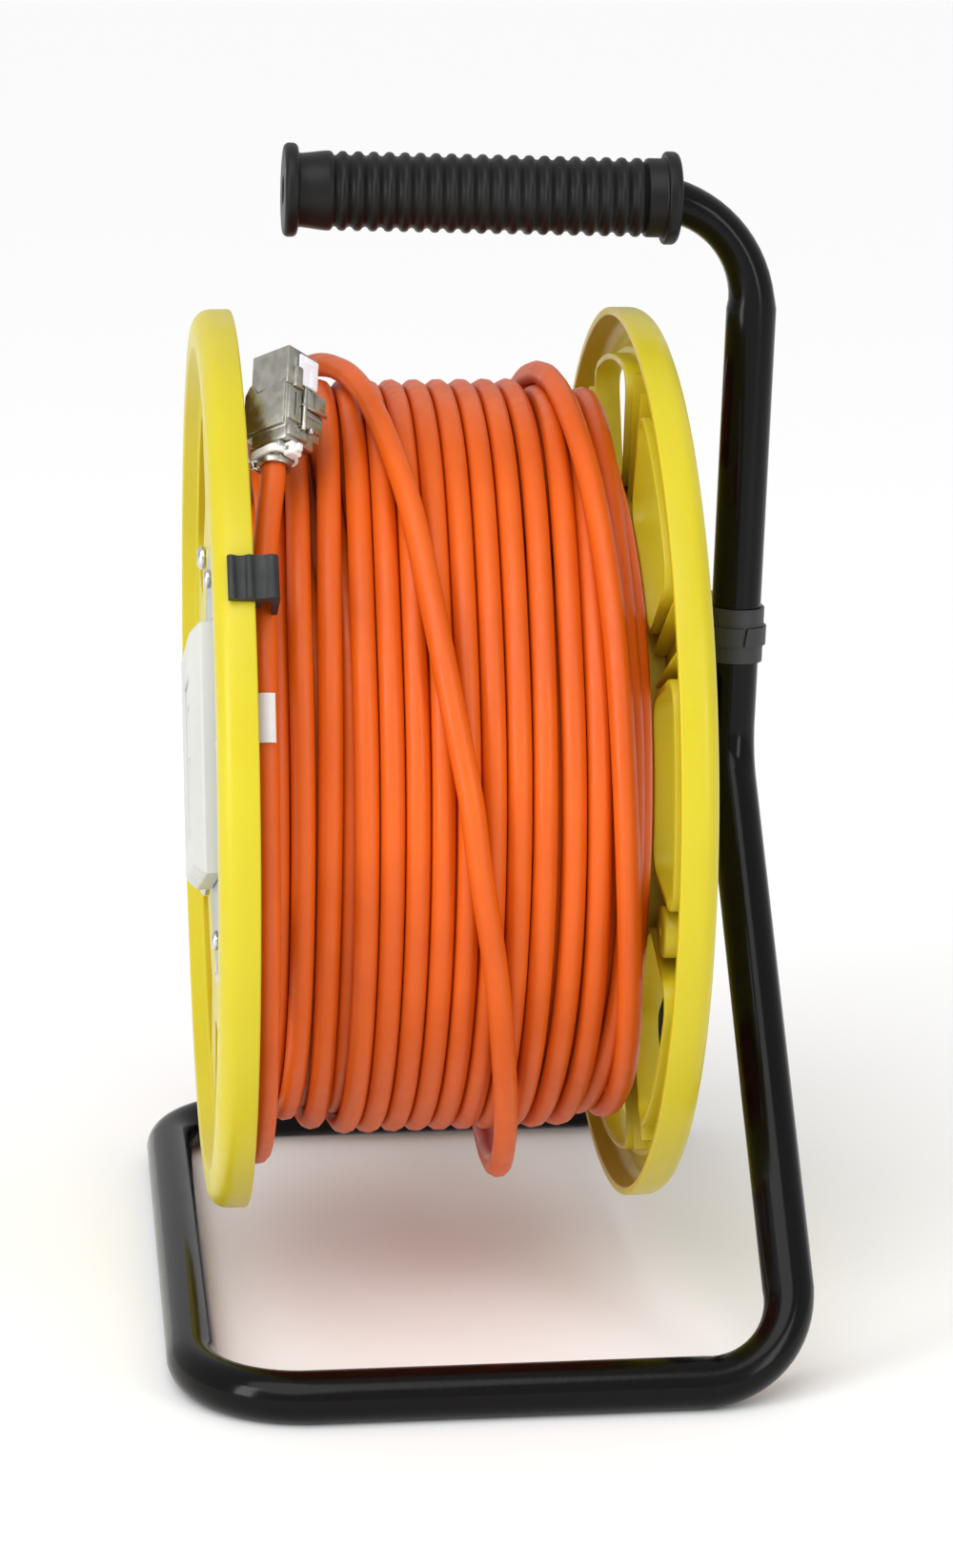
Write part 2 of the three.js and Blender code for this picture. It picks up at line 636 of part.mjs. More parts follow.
function buildDrum(parent) {
  piece(parent, 'left_flange', leftFlange(), flangeYellow);
  piece(parent, 'right_flange', rightFlange(), flangeYellow);
  piece(parent, 'drum_core', drumCore(), coreYellow);
  piece(parent, 'hub_sleeve', hubSleeve(), coreYellow);
  piece(parent, 'bush_left', bush(SLEEVE_LEFT_X, 1), bushNylon);
  piece(parent, 'bush_right', bush(SLEEVE_RIGHT_X, -1), bushNylon);
  screwSet(parent, 'left_flange_screw', TURN / 8, CORE_SCREW_RING, -68.3, FLANGE_SCREW);
  screwSet(parent, 'right_flange_screw', TURN / 8, CORE_SCREW_RING, 70.3, FLANGE_SCREW);
  screwSet(parent, 'hub_screw', 0, HUB_SCREW_RING, 69.8, HUB_SCREW);
  screwSet(parent, 'disc_screw', DISC_SCREW_FIRST, DISC_SCREW_RING, -68.3, DISC_SCREW);
  piece(parent, 'cable_clip', cableClip(), clipCharcoal);
}

// ---------------------------------------------------------------- outlet

// Drawn facing +Z with its upright direction along X, then turned to face out of the left flange.
function outletGroup() {
  const turnedGroup = new THREE.Group();
  turnedGroup.rotation.x = OUTLET_TURN;
  const facing = new THREE.Group();
  facing.rotation.y = -TURN / 4;
  turnedGroup.add(facing);
  return { turnedGroup, facing };
}

const CARRIER_SCREW_Y = 21.5;
const CARRIER_FACE = OUTLET_BACK + 1.5;
const JACK_HALF = 7.1;

function outletDrill(x, y) {
  return new THREE.CylinderGeometry(1.9, 1.9, 10, 8).rotateX(TURN / 4).translate(x, y, OUTLET_BACK);
}

function outletDisc() {
  const [back, front] = [66.5, 68];
  const shape = new THREE.Shape();
  shape.absarc(0, 0, DISC_RADIUS, 0, TURN, false);
  const options = { depth: front - back, bevelEnabled: false, curveSegments: 28 };
  const plate = new THREE.ExtrudeGeometry(shape, options).translate(0, 0, back);
  const opening = block(-21, 13, -19.6, 19.6, back - 5, front + 5);
  const compass = [[1, 0], [0, 1], [-1, 0], [0, -1]];
  const rim = compass.map(([x, y]) => outletDrill(x * DISC_SCREW_RING, y * DISC_SCREW_RING));
  const middle = [-1, 1].map((side) => outletDrill(PORT_OFFSET_X, side * CARRIER_SCREW_Y));
  return cut(plate, opening, ...rim, ...middle);
}

function outletCarrier() {
  const plate = block(-24, 24, -24.6, 24.6, OUTLET_BACK, CARRIER_FACE);
  const jackHole = block(-12.4, 4.4, -17.2, 17.2, OUTLET_BACK - 5, CARRIER_FACE + 5);
  const screwHoles = [-1, 1].map((side) => outletDrill(PORT_OFFSET_X, side * CARRIER_SCREW_Y));
  return cut(plate, jackHole, ...screwHoles);
}

// The square cover frame: one closed outline turned in four sides gives its mitred corners.
function outletFrame() {
  const outline = [
    [25.4, OUTLET_FRONT], [36.5, OUTLET_FRONT], [OUTLET_HALF, 73.5], [OUTLET_HALF, OUTLET_BACK],
    [37.6, OUTLET_BACK], [37.6, 72.6], [35.6, 74.6], [27.8, 74.6], [27.8, 70.4], [25.4, 70.4],
    [25.4, OUTLET_FRONT],
  ];
  const points = outline.map(([half, z]) => new THREE.Vector2(half * Math.SQRT2, z));
  return new THREE.LatheGeometry(points, 4, TURN / 8).rotateX(TURN / 4);
}

function portY(side) {
  return side * PORT_OFFSET_Y;
}

function outletPlate() {
  const [back, front, half] = [73, 76, 25];
  const hole = (x0, x1, y0, y1) => block(x0, x1, y0, y1, back - 3, front + 3);
  const ports = [-1, 1].map((side) => hole(-9.6, 1.6, portY(side) - 6.6, portY(side) + 6.6));
  return cut(block(-half, half, -half, half, back, front), ...ports, hole(9.2, 18.8, -20.2, 20.2));
}

function outletJack(side) {
  const y = portY(side);
  const body = block(-12, 4, y - JACK_HALF, y + JACK_HALF, 42, 71);
  const cavity = block(-8.6, -0.4, y - 5.9, y + 5.9, 57, 75);
  const latchSlot = block(-10.4, -8, y - 3, y + 3, 60, 75);
  return cut(body, cavity, latchSlot);
}

// The dust shutter behind one port: a leaf that slides along its upright, and a tab for the finger.
function shutter(side) {
  const y = portY(side);
  const leaf = block(-9.9, 1.9, y - 7, y + 7, 71.5, 72.7);
  const tab = block(-9.3, -8.3, y - 3.4, y + 3.4, 72.5, 74.4);
  return joined(leaf, tab);
}

function carrierScrew(side) {
  const screw = panScrew(0, 1, CARRIER_SCREW).rotateY(-TURN / 4);
  return screw.translate(PORT_OFFSET_X, side * CARRIER_SCREW_Y, CARRIER_FACE + GAP);
}

// The straight lead from the back of one jack to the hole in the drum's core.
function outletLead() {
  const near = PORT_OFFSET_Y + JACK_HALF + GAP;
  const far = CORE_RADIUS - 0.1;
  const lead = new THREE.CylinderGeometry(CABLE_RADIUS, CABLE_RADIUS, far - near, 10);
  return lead.translate(0, -(far + near) / 2, -LEAD_X);
}

function buildOutlet(parent) {
  const { turnedGroup, facing } = outletGroup();
  piece(facing, 'outlet_disc', outletDisc(), discGrey);
  piece(facing, 'outlet_carrier', outletCarrier(), bareSteel);
  piece(facing, 'outlet_frame', outletFrame(), outletGrey);
  piece(facing, 'outlet_plate', outletPlate(), outletGrey);
  piece(facing, 'label_window', block(9.5, 18.5, -19.9, 19.9, 73.4, 75.4), labelWhite);
  for (const [letter, side] of [['a', -1], ['b', 1]]) {
    piece(facing, `outlet_jack_${letter}`, outletJack(side), keystoneMetal);
    piece(facing, `shutter_${letter}`, shutter(side), outletGrey);
    piece(facing, `carrier_screw_${letter}`, carrierScrew(side), zincScrew);
  }
  piece(facing, 'outlet_lead', outletLead(), cableOrange);
  parent.add(turnedGroup);
}

// ---------------------------------------------------------------- cable and keystone jack

// A stiff label wrapped part of the way round the free end, on the side away from the rim.
function cableLabel() {
  const [inner, outer, from, to, steps] = [4.75, 5.05, 35, 165, 8];
  const at = (radius, k) => {
    const angle = THREE.MathUtils.degToRad(from + ((to - from) * k) / steps);
    return new THREE.Vector2(radius * Math.cos(angle), radius * Math.sin(angle));
  };
  const outline = [];
  for (let k = 0; k <= steps; k += 1) outline.push(at(outer, k));
  for (let k = steps; k >= 0; k -= 1) outline.push(at(inner, k));
  const strip = raised(new THREE.Shape(outline), LABEL_LENGTH).translate(0, 0, -LABEL_LENGTH / 2);
  const place = onDrum(LABEL_X, LABEL_ANGLE, LABEL_RING);
  return strip.rotateX(Math.PI - LABEL_ANGLE).translate(place.x, place.y, place.z);
}

function buildCable(parent) {
  const winding = ring(-WINDING_HALF_WIDTH, WINDING_HALF_WIDTH, CORE_RADIUS + GAP, WINDING_RADIUS, 48);
  piece(parent, 'cable_winding', winding, cableOrange);
  const route = TAIL_ROUTE.map(([x, angle, radius]) => onDrum(x, THREE.MathUtils.degToRad(angle), radius));
  piece(parent, 'cable_tail', cordAlong(route, CABLE_RADIUS, 8, 19), cableOrange);
  piece(parent, 'cable_label', cableLabel(), labelWhite);
}

// The jack hangs down from its port along -Z: a port block, then wider jaws with a narrower root.
function keystoneBody() {
  const half = KEYSTONE_HALF;
  const port = block(-5.6, 5.6, -4.2, 4.2, -14, 1);
  const latchSlot = block(-3, 3, -6.2, -4, -14, 1);
  const upper = block(-7, half, -half, 5.5, -KEYSTONE_UPPER - 1, 0);
  const jaws = block(-9.4, half, -half, 8.8, -KEYSTONE_JAWS, -KEYSTONE_UPPER);
  const root = block(-6.5, half, -half, 6, -KEYSTONE_LENGTH, -KEYSTONE_JAWS + 1);
  return cut(joined(upper, jaws, root), port, latchSlot);
}

// The plate under the jaws, and the neck that the free end goes into.
function keystoneCap() {
  const top = -KEYSTONE_LENGTH - GAP;
  const plate = block(-6.4, 5.4, -7.4, 3.6, top - 1.7, top);
  const neck = block(-5.4, 4.2, -7.5, 2, top - 3.8, top - 1);
  return joined(plate, neck);
}

// The white latch on the jack's right side, above the jaws.
function keystoneLatch() {
  const face = KEYSTONE_HALF + GAP;
  return block(face, face + 1.2, -3.4, 4.6, -11.5, -1.6);
}

function buildKeystone(parent) {
  const jack = new THREE.Group();
  jack.position.set(...KEYSTONE_TOP);
  jack.rotation.set(...KEYSTONE_TILT);
  piece(jack, 'keystone_body', keystoneBody(), keystoneMetal);
  piece(jack, 'keystone_cap', keystoneCap(), keystoneMetal);
  piece(jack, 'keystone_latch', keystoneLatch(), insertWhite);
  parent.add(jack);
}

// ---------------------------------------------------------------- the whole reel

const reel = new THREE.Group();
reel.position.set(CENTRE_SHIFT_X, 0, AXLE_HEIGHT);
buildFrame(reel);
buildDrum(reel);
buildOutlet(reel);
buildCable(reel);
buildKeystone(reel);

export default reel;
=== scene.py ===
"""The looks of a portable data cable reel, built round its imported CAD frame.

The reel is drawn from the axle's centre, with X along the axle, Y away from the camera and Z up,
in metres. CENTRE moves that into the row frame.
"""

import math

import bmesh
import bpy
import numpy as np
from mathutils import Matrix, Vector


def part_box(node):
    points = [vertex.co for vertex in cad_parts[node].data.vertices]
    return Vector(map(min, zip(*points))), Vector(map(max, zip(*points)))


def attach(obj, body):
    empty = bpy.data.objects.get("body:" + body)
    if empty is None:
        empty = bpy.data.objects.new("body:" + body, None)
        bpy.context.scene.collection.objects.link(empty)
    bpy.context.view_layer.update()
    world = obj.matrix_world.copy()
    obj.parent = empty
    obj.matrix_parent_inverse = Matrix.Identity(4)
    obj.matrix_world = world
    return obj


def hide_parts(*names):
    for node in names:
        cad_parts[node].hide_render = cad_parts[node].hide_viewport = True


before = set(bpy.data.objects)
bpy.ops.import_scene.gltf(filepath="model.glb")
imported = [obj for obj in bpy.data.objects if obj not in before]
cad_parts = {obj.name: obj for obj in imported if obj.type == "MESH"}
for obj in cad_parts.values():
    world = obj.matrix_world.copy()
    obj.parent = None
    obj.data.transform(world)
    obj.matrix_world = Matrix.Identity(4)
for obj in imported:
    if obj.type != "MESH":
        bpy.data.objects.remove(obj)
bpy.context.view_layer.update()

MM = 0.001
TURN = 2 * math.pi

# The axle's centre, halfway between the flanges' outer faces, in the row frame.
CENTRE = (Vector(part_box("left_flange")[0]) + Vector(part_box("right_flange")[1])) / 2


def place(x, y, z):
    """A point given from the axle's centre, in millimetres, in the row frame."""
    return CENTRE + Vector((x, y, z)) * MM


def on_drum(x, degrees, radius):
    """A point on the drum in millimetres from the axle's centre: degrees go up from the front."""
    angle = math.radians(degrees)
    return Vector((x, -radius * math.cos(angle), radius * math.sin(angle)))


# ---------------------------------------------------------------- camera

CAMERA_AT = (-121.21, -1214.34, 270.55)
CAMERA_YAW = math.radians(6.52)
CAMERA_PITCH = math.radians(12.93)
CAMERA_ROLL = math.radians(0.34)
FOCAL_IN_FRAME_HEIGHTS = 2.43921
SENSOR = 36.0


def make_camera():
    forward = Vector((
        math.sin(CAMERA_YAW) * math.cos(CAMERA_PITCH),
        math.cos(CAMERA_YAW) * math.cos(CAMERA_PITCH),
        -math.sin(CAMERA_PITCH),
    ))
    level = Vector((math.cos(CAMERA_YAW), -math.sin(CAMERA_YAW), 0))
    upright = level.cross(forward)
    right = level * math.cos(CAMERA_ROLL) + upright * math.sin(CAMERA_ROLL)
    up = upright * math.cos(CAMERA_ROLL) - level * math.sin(CAMERA_ROLL)
    data = bpy.data.cameras.new("camera")
    data.sensor_fit = "VERTICAL"
    data.sensor_height = SENSOR
    data.lens = FOCAL_IN_FRAME_HEIGHTS * SENSOR
    camera = bpy.data.objects.new("camera", data)
    turn = Matrix((right, up, -forward)).transposed().to_4x4()
    camera.matrix_world = Matrix.Translation(place(*CAMERA_AT)) @ turn
    bpy.context.scene.collection.objects.link(camera)
    bpy.context.scene.camera = camera


# ---------------------------------------------------------------- materials

def new_material(name, colour, roughness, metallic=0.0):
    """A plain Principled material, which the helpers below add detail to."""
    material = bpy.data.materials.new(name)
    material.use_nodes = True
    shader = material.node_tree.nodes["Principled BSDF"]
    shader.inputs["Base Color"].default_value = (*colour, 1)
    shader.inputs["Roughness"].default_value = roughness
    shader.inputs["Metallic"].default_value = metallic
    return material


def node_of(material, kind, **settings):
    node = material.node_tree.nodes.new(kind)
    for key, value in settings.items():
        setattr(node, key, value)
    return node


def join(material, source, target):
    material.node_tree.links.new(source, target)


def noise_of(material, scale, detail, stretch=(1, 1, 1)):
    """The value of a noise in the object's own metres, stretched along an axis if asked."""
    where = node_of(material, "ShaderNodeTexCoord")
    mapping = node_of(material, "ShaderNodeMapping")
    mapping.inputs["Scale"].default_value = stretch
    noise = node_of(material, "ShaderNodeTexNoise")
    noise.inputs["Scale"].default_value = scale
    noise.inputs["Detail"].default_value = detail
    noise.inputs["Roughness"].default_value = 0.5
    join(material, where.outputs["Object"], mapping.inputs["Vector"])
    join(material, mapping.outputs["Vector"], noise.inputs["Vector"])
    return noise.outputs["Fac"]


def vary_colour(material, noise, dark, light):
    """Blends two colours over the middle of a noise, given as (scale, detail)."""
    ramp = node_of(material, "ShaderNodeValToRGB")
    ramp.color_ramp.elements[0].position = 0.35
    ramp.color_ramp.elements[0].color = (*dark, 1)
    ramp.color_ramp.elements[1].position = 0.65
    ramp.color_ramp.elements[1].color = (*light, 1)
    join(material, noise_of(material, *noise), ramp.inputs["Fac"])
    shader = material.node_tree.nodes["Principled BSDF"]
    join(material, ramp.outputs["Color"], shader.inputs["Base Color"])


def vary_roughness(material, noise, low, high):
    spread = node_of(material, "ShaderNodeMapRange")
    spread.inputs["From Min"].default_value = 0.3
    spread.inputs["From Max"].default_value = 0.7
    spread.inputs["To Min"].default_value = low
    spread.inputs["To Max"].default_value = high
    join(material, noise_of(material, *noise), spread.inputs["Value"])
    shader = material.node_tree.nodes["Principled BSDF"]
    join(material, spread.outputs["Result"], shader.inputs["Roughness"])


def add_bump(material, noise, strength, distance=0.0002):
    bump = node_of(material, "ShaderNodeBump")
    bump.inputs["Strength"].default_value = strength
    bump.inputs["Distance"].default_value = distance
    shader = material.node_tree.nodes["Principled BSDF"]
    join(material, noise_of(material, *noise), bump.inputs["Height"])
    join(material, bump.outputs["Normal"], shader.inputs["Normal"])


def set_socket(material, **values):
    shader = material.node_tree.nodes["Principled BSDF"]
    for key, value in values.items():
        shader.inputs[key.replace("_", " ")].default_value = value


def gloss_black():
    material = new_material("gloss_black_powder", (0.002, 0.002, 0.002), 0.16)
    vary_roughness(material, (60, 3), 0.12, 0.2)
    add_bump(material, (420, 2), 0.12)
    set_socket(material, Specular_IOR_Level=0.16)
    return material


def grip_rubber():
    material = new_material("grip_rubber", (0.006, 0.006, 0.006), 0.42)
    vary_roughness(material, (90, 3), 0.36, 0.5)
    vary_colour(material, (40, 4), (0.004, 0.004, 0.004), (0.009, 0.009, 0.009))
    add_bump(material, (1500, 2), 0.1)
    set_socket(material, Specular_IOR_Level=0.22)
    return material


def collar_plastic():
    material = new_material("collar_plastic", (0.014, 0.015, 0.016), 0.5)
    vary_roughness(material, (120, 3), 0.42, 0.56)
    add_bump(material, (1800, 2), 0.12)
    return material


def flange_plastic():
    material = new_material("flange_yellow", (0.56, 0.47, 0.014), 0.42)
    vary_colour(material, (14, 4), (0.54, 0.45, 0.012), (0.58, 0.49, 0.016))
    vary_roughness(material, (50, 4), 0.28, 0.42)
    add_bump(material, (700, 2), 0.06)
    set_socket(material, Subsurface_Weight=0.1, Subsurface_Scale=0.004, Specular_IOR_Level=0.32)
    return material


def core_plastic():
    material = new_material("core_yellow", (0.66, 0.58, 0.05), 0.45)
    vary_colour(material, (20, 4), (0.62, 0.54, 0.045), (0.70, 0.62, 0.055))
    vary_roughness(material, (60, 3), 0.38, 0.52)
    add_bump(material, (900, 2), 0.08)
    return material


def cable_sheath():
    material = new_material("cable_sheath", (0.66, 0.100, 0.003), 0.45)
    vary_colour(material, (22, 5), (0.62, 0.090, 0.0025), (0.70, 0.110, 0.004))
    vary_roughness(material, (160, 3), 0.36, 0.5)
    add_bump(material, (900, 3), 0.18)
    set_socket(material, Subsurface_Weight=0.08, Subsurface_Scale=0.002, Specular_IOR_Level=0.35)
    return material


def charcoal_plastic():
    material = new_material("charcoal_plastic", (0.018, 0.019, 0.019), 0.42)
    vary_colour(material, (90, 5), (0.014, 0.015, 0.015), (0.023, 0.024, 0.024))
    vary_roughness(material, (260, 4), 0.32, 0.52)
    add_bump(material, (1100, 3), 0.2)
    set_socket(material, Specular_IOR_Level=0.3)
    return material


def outlet_plastic():
    material = new_material("outlet_plastic", (0.53, 0.54, 0.52), 0.34)
    vary_colour(material, (25, 3), (0.52, 0.53, 0.50), (0.55, 0.56, 0.53))
    vary_roughness(material, (110, 3), 0.28, 0.4)
    add_bump(material, (1300, 2), 0.05)
    return material


def disc_plastic():
    material = new_material("disc_plastic", (0.36, 0.37, 0.375), 0.45)
    vary_colour(material, (30, 4), (0.33, 0.34, 0.345), (0.39, 0.40, 0.405))
    vary_roughness(material, (90, 3), 0.38, 0.52)
    add_bump(material, (1400, 2), 0.12)
    return material


def label_film():
    material = new_material("label_film", (0.72, 0.69, 0.67), 0.36)
    vary_colour(material, (120, 3), (0.69, 0.66, 0.64), (0.75, 0.72, 0.70))
    add_bump(material, (500, 2), 0.1)
    return material


def nickel_casting():
    material = new_material("nickel_casting", (0.44, 0.43, 0.38), 0.34, 1.0)
    vary_colour(material, (260, 5), (0.38, 0.37, 0.33), (0.50, 0.485, 0.43))
    vary_roughness(material, (500, 4), 0.26, 0.44)
    add_bump(material, (1400, 4), 0.3)
    return material


def white_moulding():
    material = new_material("white_moulding", (0.80, 0.79, 0.83), 0.4)
    vary_colour(material, (200, 3), (0.77, 0.76, 0.80), (0.83, 0.82, 0.86))
    add_bump(material, (1600, 2), 0.1)
    return material


def tie_nylon():
    material = new_material("tie_nylon", (0.78, 0.76, 0.72), 0.38)
    vary_colour(material, (300, 3), (0.74, 0.72, 0.68), (0.82, 0.80, 0.76))
    add_bump(material, (1500, 2), 0.12)
    set_socket(material, Subsurface_Weight=0.3, Subsurface_Scale=0.002)
    return material


def bright_steel():
    material = new_material("bright_steel", (0.55, 0.55, 0.56), 0.28, 1.0)
    vary_roughness(material, (300, 3, (6, 1, 1)), 0.2, 0.38)
    add_bump(material, (500, 3, (8, 1, 1)), 0.1)
    return material


def zinc_plate():
    material = new_material("zinc_plate", (0.66, 0.66, 0.67), 0.24, 1.0)
    vary_colour(material, (350, 3), (0.60, 0.60, 0.62), (0.70, 0.70, 0.70))
    vary_roughness(material, (500, 3), 0.16, 0.34)
    return material


def bush_nylon():
    material = new_material("bush_nylon", (0.68, 0.66, 0.58), 0.42)
    vary_colour(material, (120, 3), (0.65, 0.63, 0.55), (0.71, 0.69, 0.61))
    add_bump(material, (1500, 2), 0.1)
    return material


# ---------------------------------------------------------------- mesh helpers

def object_of(name, mesh, material, sharp):
    """Shades a mesh smooth with its sharp edges kept, and links it as an object."""
    mesh.materials.append(material)
    mesh.polygons.foreach_set("use_smooth", [True] * len(mesh.polygons))
    mesh.set_sharp_from_angle(angle=math.radians(sharp))
    thing = bpy.data.objects.new(name, mesh)
    bpy.context.scene.collection.objects.link(thing)
    return thing


def mesh_of_bmesh(name, bm):
    bmesh.ops.recalc_face_normals(bm, faces=bm.faces)
    mesh = bpy.data.meshes.new(name)
    bm.to_mesh(mesh)
    bm.free()
    return mesh


def piece_of(name, bm, material, sharp):
    return object_of(name, mesh_of_bmesh(name, bm), material, sharp)


def rounded(outline, radii, steps, closed=True):
    """The outline with each corner turned into an arc of its radius."""
    points = [Vector((a, b)) for a, b in outline]
    count = len(points)
    out = []
    for i, corner in enumerate(points):
        radius = radii[i] if isinstance(radii, (list, tuple)) else radii
        if radius <= 0 or (not closed and i in (0, count - 1)):
            out.append(tuple(corner))
            continue
        to_last = points[i - 1] - corner
        to_next = points[(i + 1) % count] - corner
        before = to_last.normalized()
        after = to_next.normalized()
        half = before.angle(after, math.pi) / 2
        setback = radius / math.tan(half)
        room = 0.49 * min(to_last.length, to_next.length)
        if setback > room:
            setback = room
            radius = setback * math.tan(half)
        middle = corner + (before + after).normalized() * (radius / math.sin(half))
        start = corner + before * setback - middle
        end = corner + after * setback - middle
        sweep = start.angle_signed(end)
        for k in range(steps + 1):
            angle = -sweep * k / steps
            turned = Matrix.Rotation(angle, 2) @ start
            out.append(tuple(middle + turned))
    return out


def band_into(bm, one, two):
    """Faces between two rings of vertices of one length."""
    size = len(one)
    for k in range(size):
        after = (k + 1) % size
        bm.faces.new((one[k], one[after], two[after], two[k]))


def lathe_into(bm, outline, sides, closed=True):
    """Turns an outline of (x, radius) about the X axis. Radius 0 makes a pole."""
    rings = []
    for x, radius in outline:
        if radius < 1e-6:
            rings.append([bm.verts.new((x, 0, 0))])
            continue
        ring = []
        for k in range(sides):
            angle = TURN * k / sides
            ring.append(bm.verts.new((x, -radius * math.cos(angle), radius * math.sin(angle))))
        rings.append(ring)
    pairs = list(zip(rings, rings[1:]))
    if closed:
        pairs.append((rings[-1], rings[0]))
    for one, two in pairs:
        for k in range(sides):
            after = (k + 1) % sides
            if len(one) == 1 and len(two) == 1:
                continue
            if len(one) == 1:
                bm.faces.new((one[0], two[k], two[after]))
            elif len(two) == 1:
                bm.faces.new((one[k], one[after], two[0]))
            else:
                bm.faces.new((one[k], one[after], two[after], two[k]))


def lathe_mesh(name, outline, sides, closed=True):
    bm = bmesh.new()
    lathe_into(bm, outline, sides, closed)
    return mesh_of_bmesh(name, bm)


def round_edges(bm, edges, width, segments):
    bmesh.ops.bevel(bm, geom=edges, offset=width, segments=segments, profile=0.5, affect="EDGES")


def box_into(bm, low, high, bevel=0.0, segments=2):
    """A box with its edges rounded."""
    made = bmesh.ops.create_cube(bm, size=1)
    verts = made["verts"]
    size = [b - a for a, b in zip(low, high)]
    middle = [(a + b) / 2 for a, b in zip(low, high)]
    bmesh.ops.scale(bm, vec=size, verts=verts)
    bmesh.ops.translate(bm, vec=middle, verts=verts)
    if bevel:
        edges = list({edge for vert in verts for edge in vert.link_edges})
        round_edges(bm, edges, bevel, segments)


def prism_into(bm, outline, low, high, bevel=0.0, segments=2):
    """An outline in X and Y given thickness along Z, with its rims rounded."""
    bottom = [bm.verts.new((a, b, low)) for a, b in outline]
    top = [bm.verts.new((a, b, high)) for a, b in outline]
    caps = [bm.faces.new(list(reversed(bottom))), bm.faces.new(top)]
    count = len(outline)
    for k in range(count):
        after = (k + 1) % count
        bm.faces.new((bottom[k], bottom[after], top[after], top[k]))
    if bevel:
        edges = list({edge for cap in caps for edge in cap.edges})
        round_edges(bm, edges, bevel, segments)


def sweep_into(bm, points, section, closed=False, up=None):
    """A closed section of (side, up) carried along a list of points without twisting."""
    count = len(points)
    tangents = []
    for i in range(count):
        if closed:
            step = points[(i + 1) % count] - points[i - 1]
        else:
            step = points[min(i + 1, count - 1)] - points[max(i - 1, 0)]
        tangents.append(step.normalized())
    normal = up or tangents[0].orthogonal()
    rings = []
    for i, point in enumerate(points):
        if up is None and i:
            normal = tangents[i - 1].rotation_difference(tangents[i]) @ normal
        normal = (normal - tangents[i] * normal.dot(tangents[i])).normalized()
        side = tangents[i].cross(normal)
        rings.append([bm.verts.new(point + side * a + normal * b) for a, b in section])
    pairs = list(zip(rings, rings[1:]))
    if closed:
        pairs.append((rings[-1], rings[0]))
    for one, two in pairs:
        band_into(bm, one, two)
    if not closed:
        bm.faces.new(list(reversed(rings[0])))
        bm.faces.new(rings[-1])


def circle(radius, sides):
    angles = [TURN * k / sides for k in range(sides)]
    return [(radius * math.cos(angle), radius * math.sin(angle)) for angle in angles]


def boolean(target, tool, operation="DIFFERENCE"):
    """Cuts or joins one mesh object with another, applies it and removes the tool."""
    modifier = target.modifiers.new("cut", "BOOLEAN")
    modifier.object = tool
    modifier.operation = operation
    modifier.solver = "EXACT"
    applied(target)
    bpy.data.objects.remove(tool)


def applied(thing):
    graph = bpy.context.evaluated_depsgraph_get()
    mesh = bpy.data.meshes.new_from_object(thing.evaluated_get(graph))
    thing.modifiers.clear()
    thing.data = mesh


def tool_object(bm):
    mesh = mesh_of_bmesh("tool", bm)
    tool = bpy.data.objects.new("tool", mesh)
    bpy.context.scene.collection.objects.link(tool)
    return tool


def box_tool(target, low, high, bevel=0.0, segments=2, operation="DIFFERENCE"):
    """Cuts a box out of a mesh object, or joins one to it."""
    bm = bmesh.new()
    box_into(bm, low, high, bevel, segments)
    boolean(target, tool_object(bm), operation)


def settle(thing, matrix=None):
    """Moves a mesh drawn in millimetres from the axle's centre into the row frame."""
    into_row = Matrix.Translation(CENTRE) @ Matrix.Scale(MM, 4)
    thing.data.transform(into_row @ (matrix or Matrix.Identity(4)))


def resharpen(thing, degrees):
    mesh = thing.data
    mesh.polygons.foreach_set("use_smooth", [True] * len(mesh.polygons))
    mesh.set_sharp_from_angle(angle=math.radians(degrees))


def carried_by(thing, body, slot, *nodes):
    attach(thing, body)
    if nodes:
        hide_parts(*nodes)


# ---------------------------------------------------------------- cable

CABLE_RADIUS = 3.8
WALL_X = 54.6
FIRST_LAYER = 92.2
LAYER_STEP = 6.45
LAYERS = 5
STEPS_PER_TURN = 48
LEAD_OUT = (-50.0, 18.0, 88.0)
LAST_TURN = 0.79
WHOLE_TURNS = 70
# How the turns settle: the share of an overlap that one step undoes, the millimetres that a turn sinks
# in one, how strongly each step straightens the cable, and how many steps there are.
PUSH = 0.28
SINK = 0.05
STIFFNESS = 0.12
SINKING_STEPS = 200
PUSHING_STEPS = 240

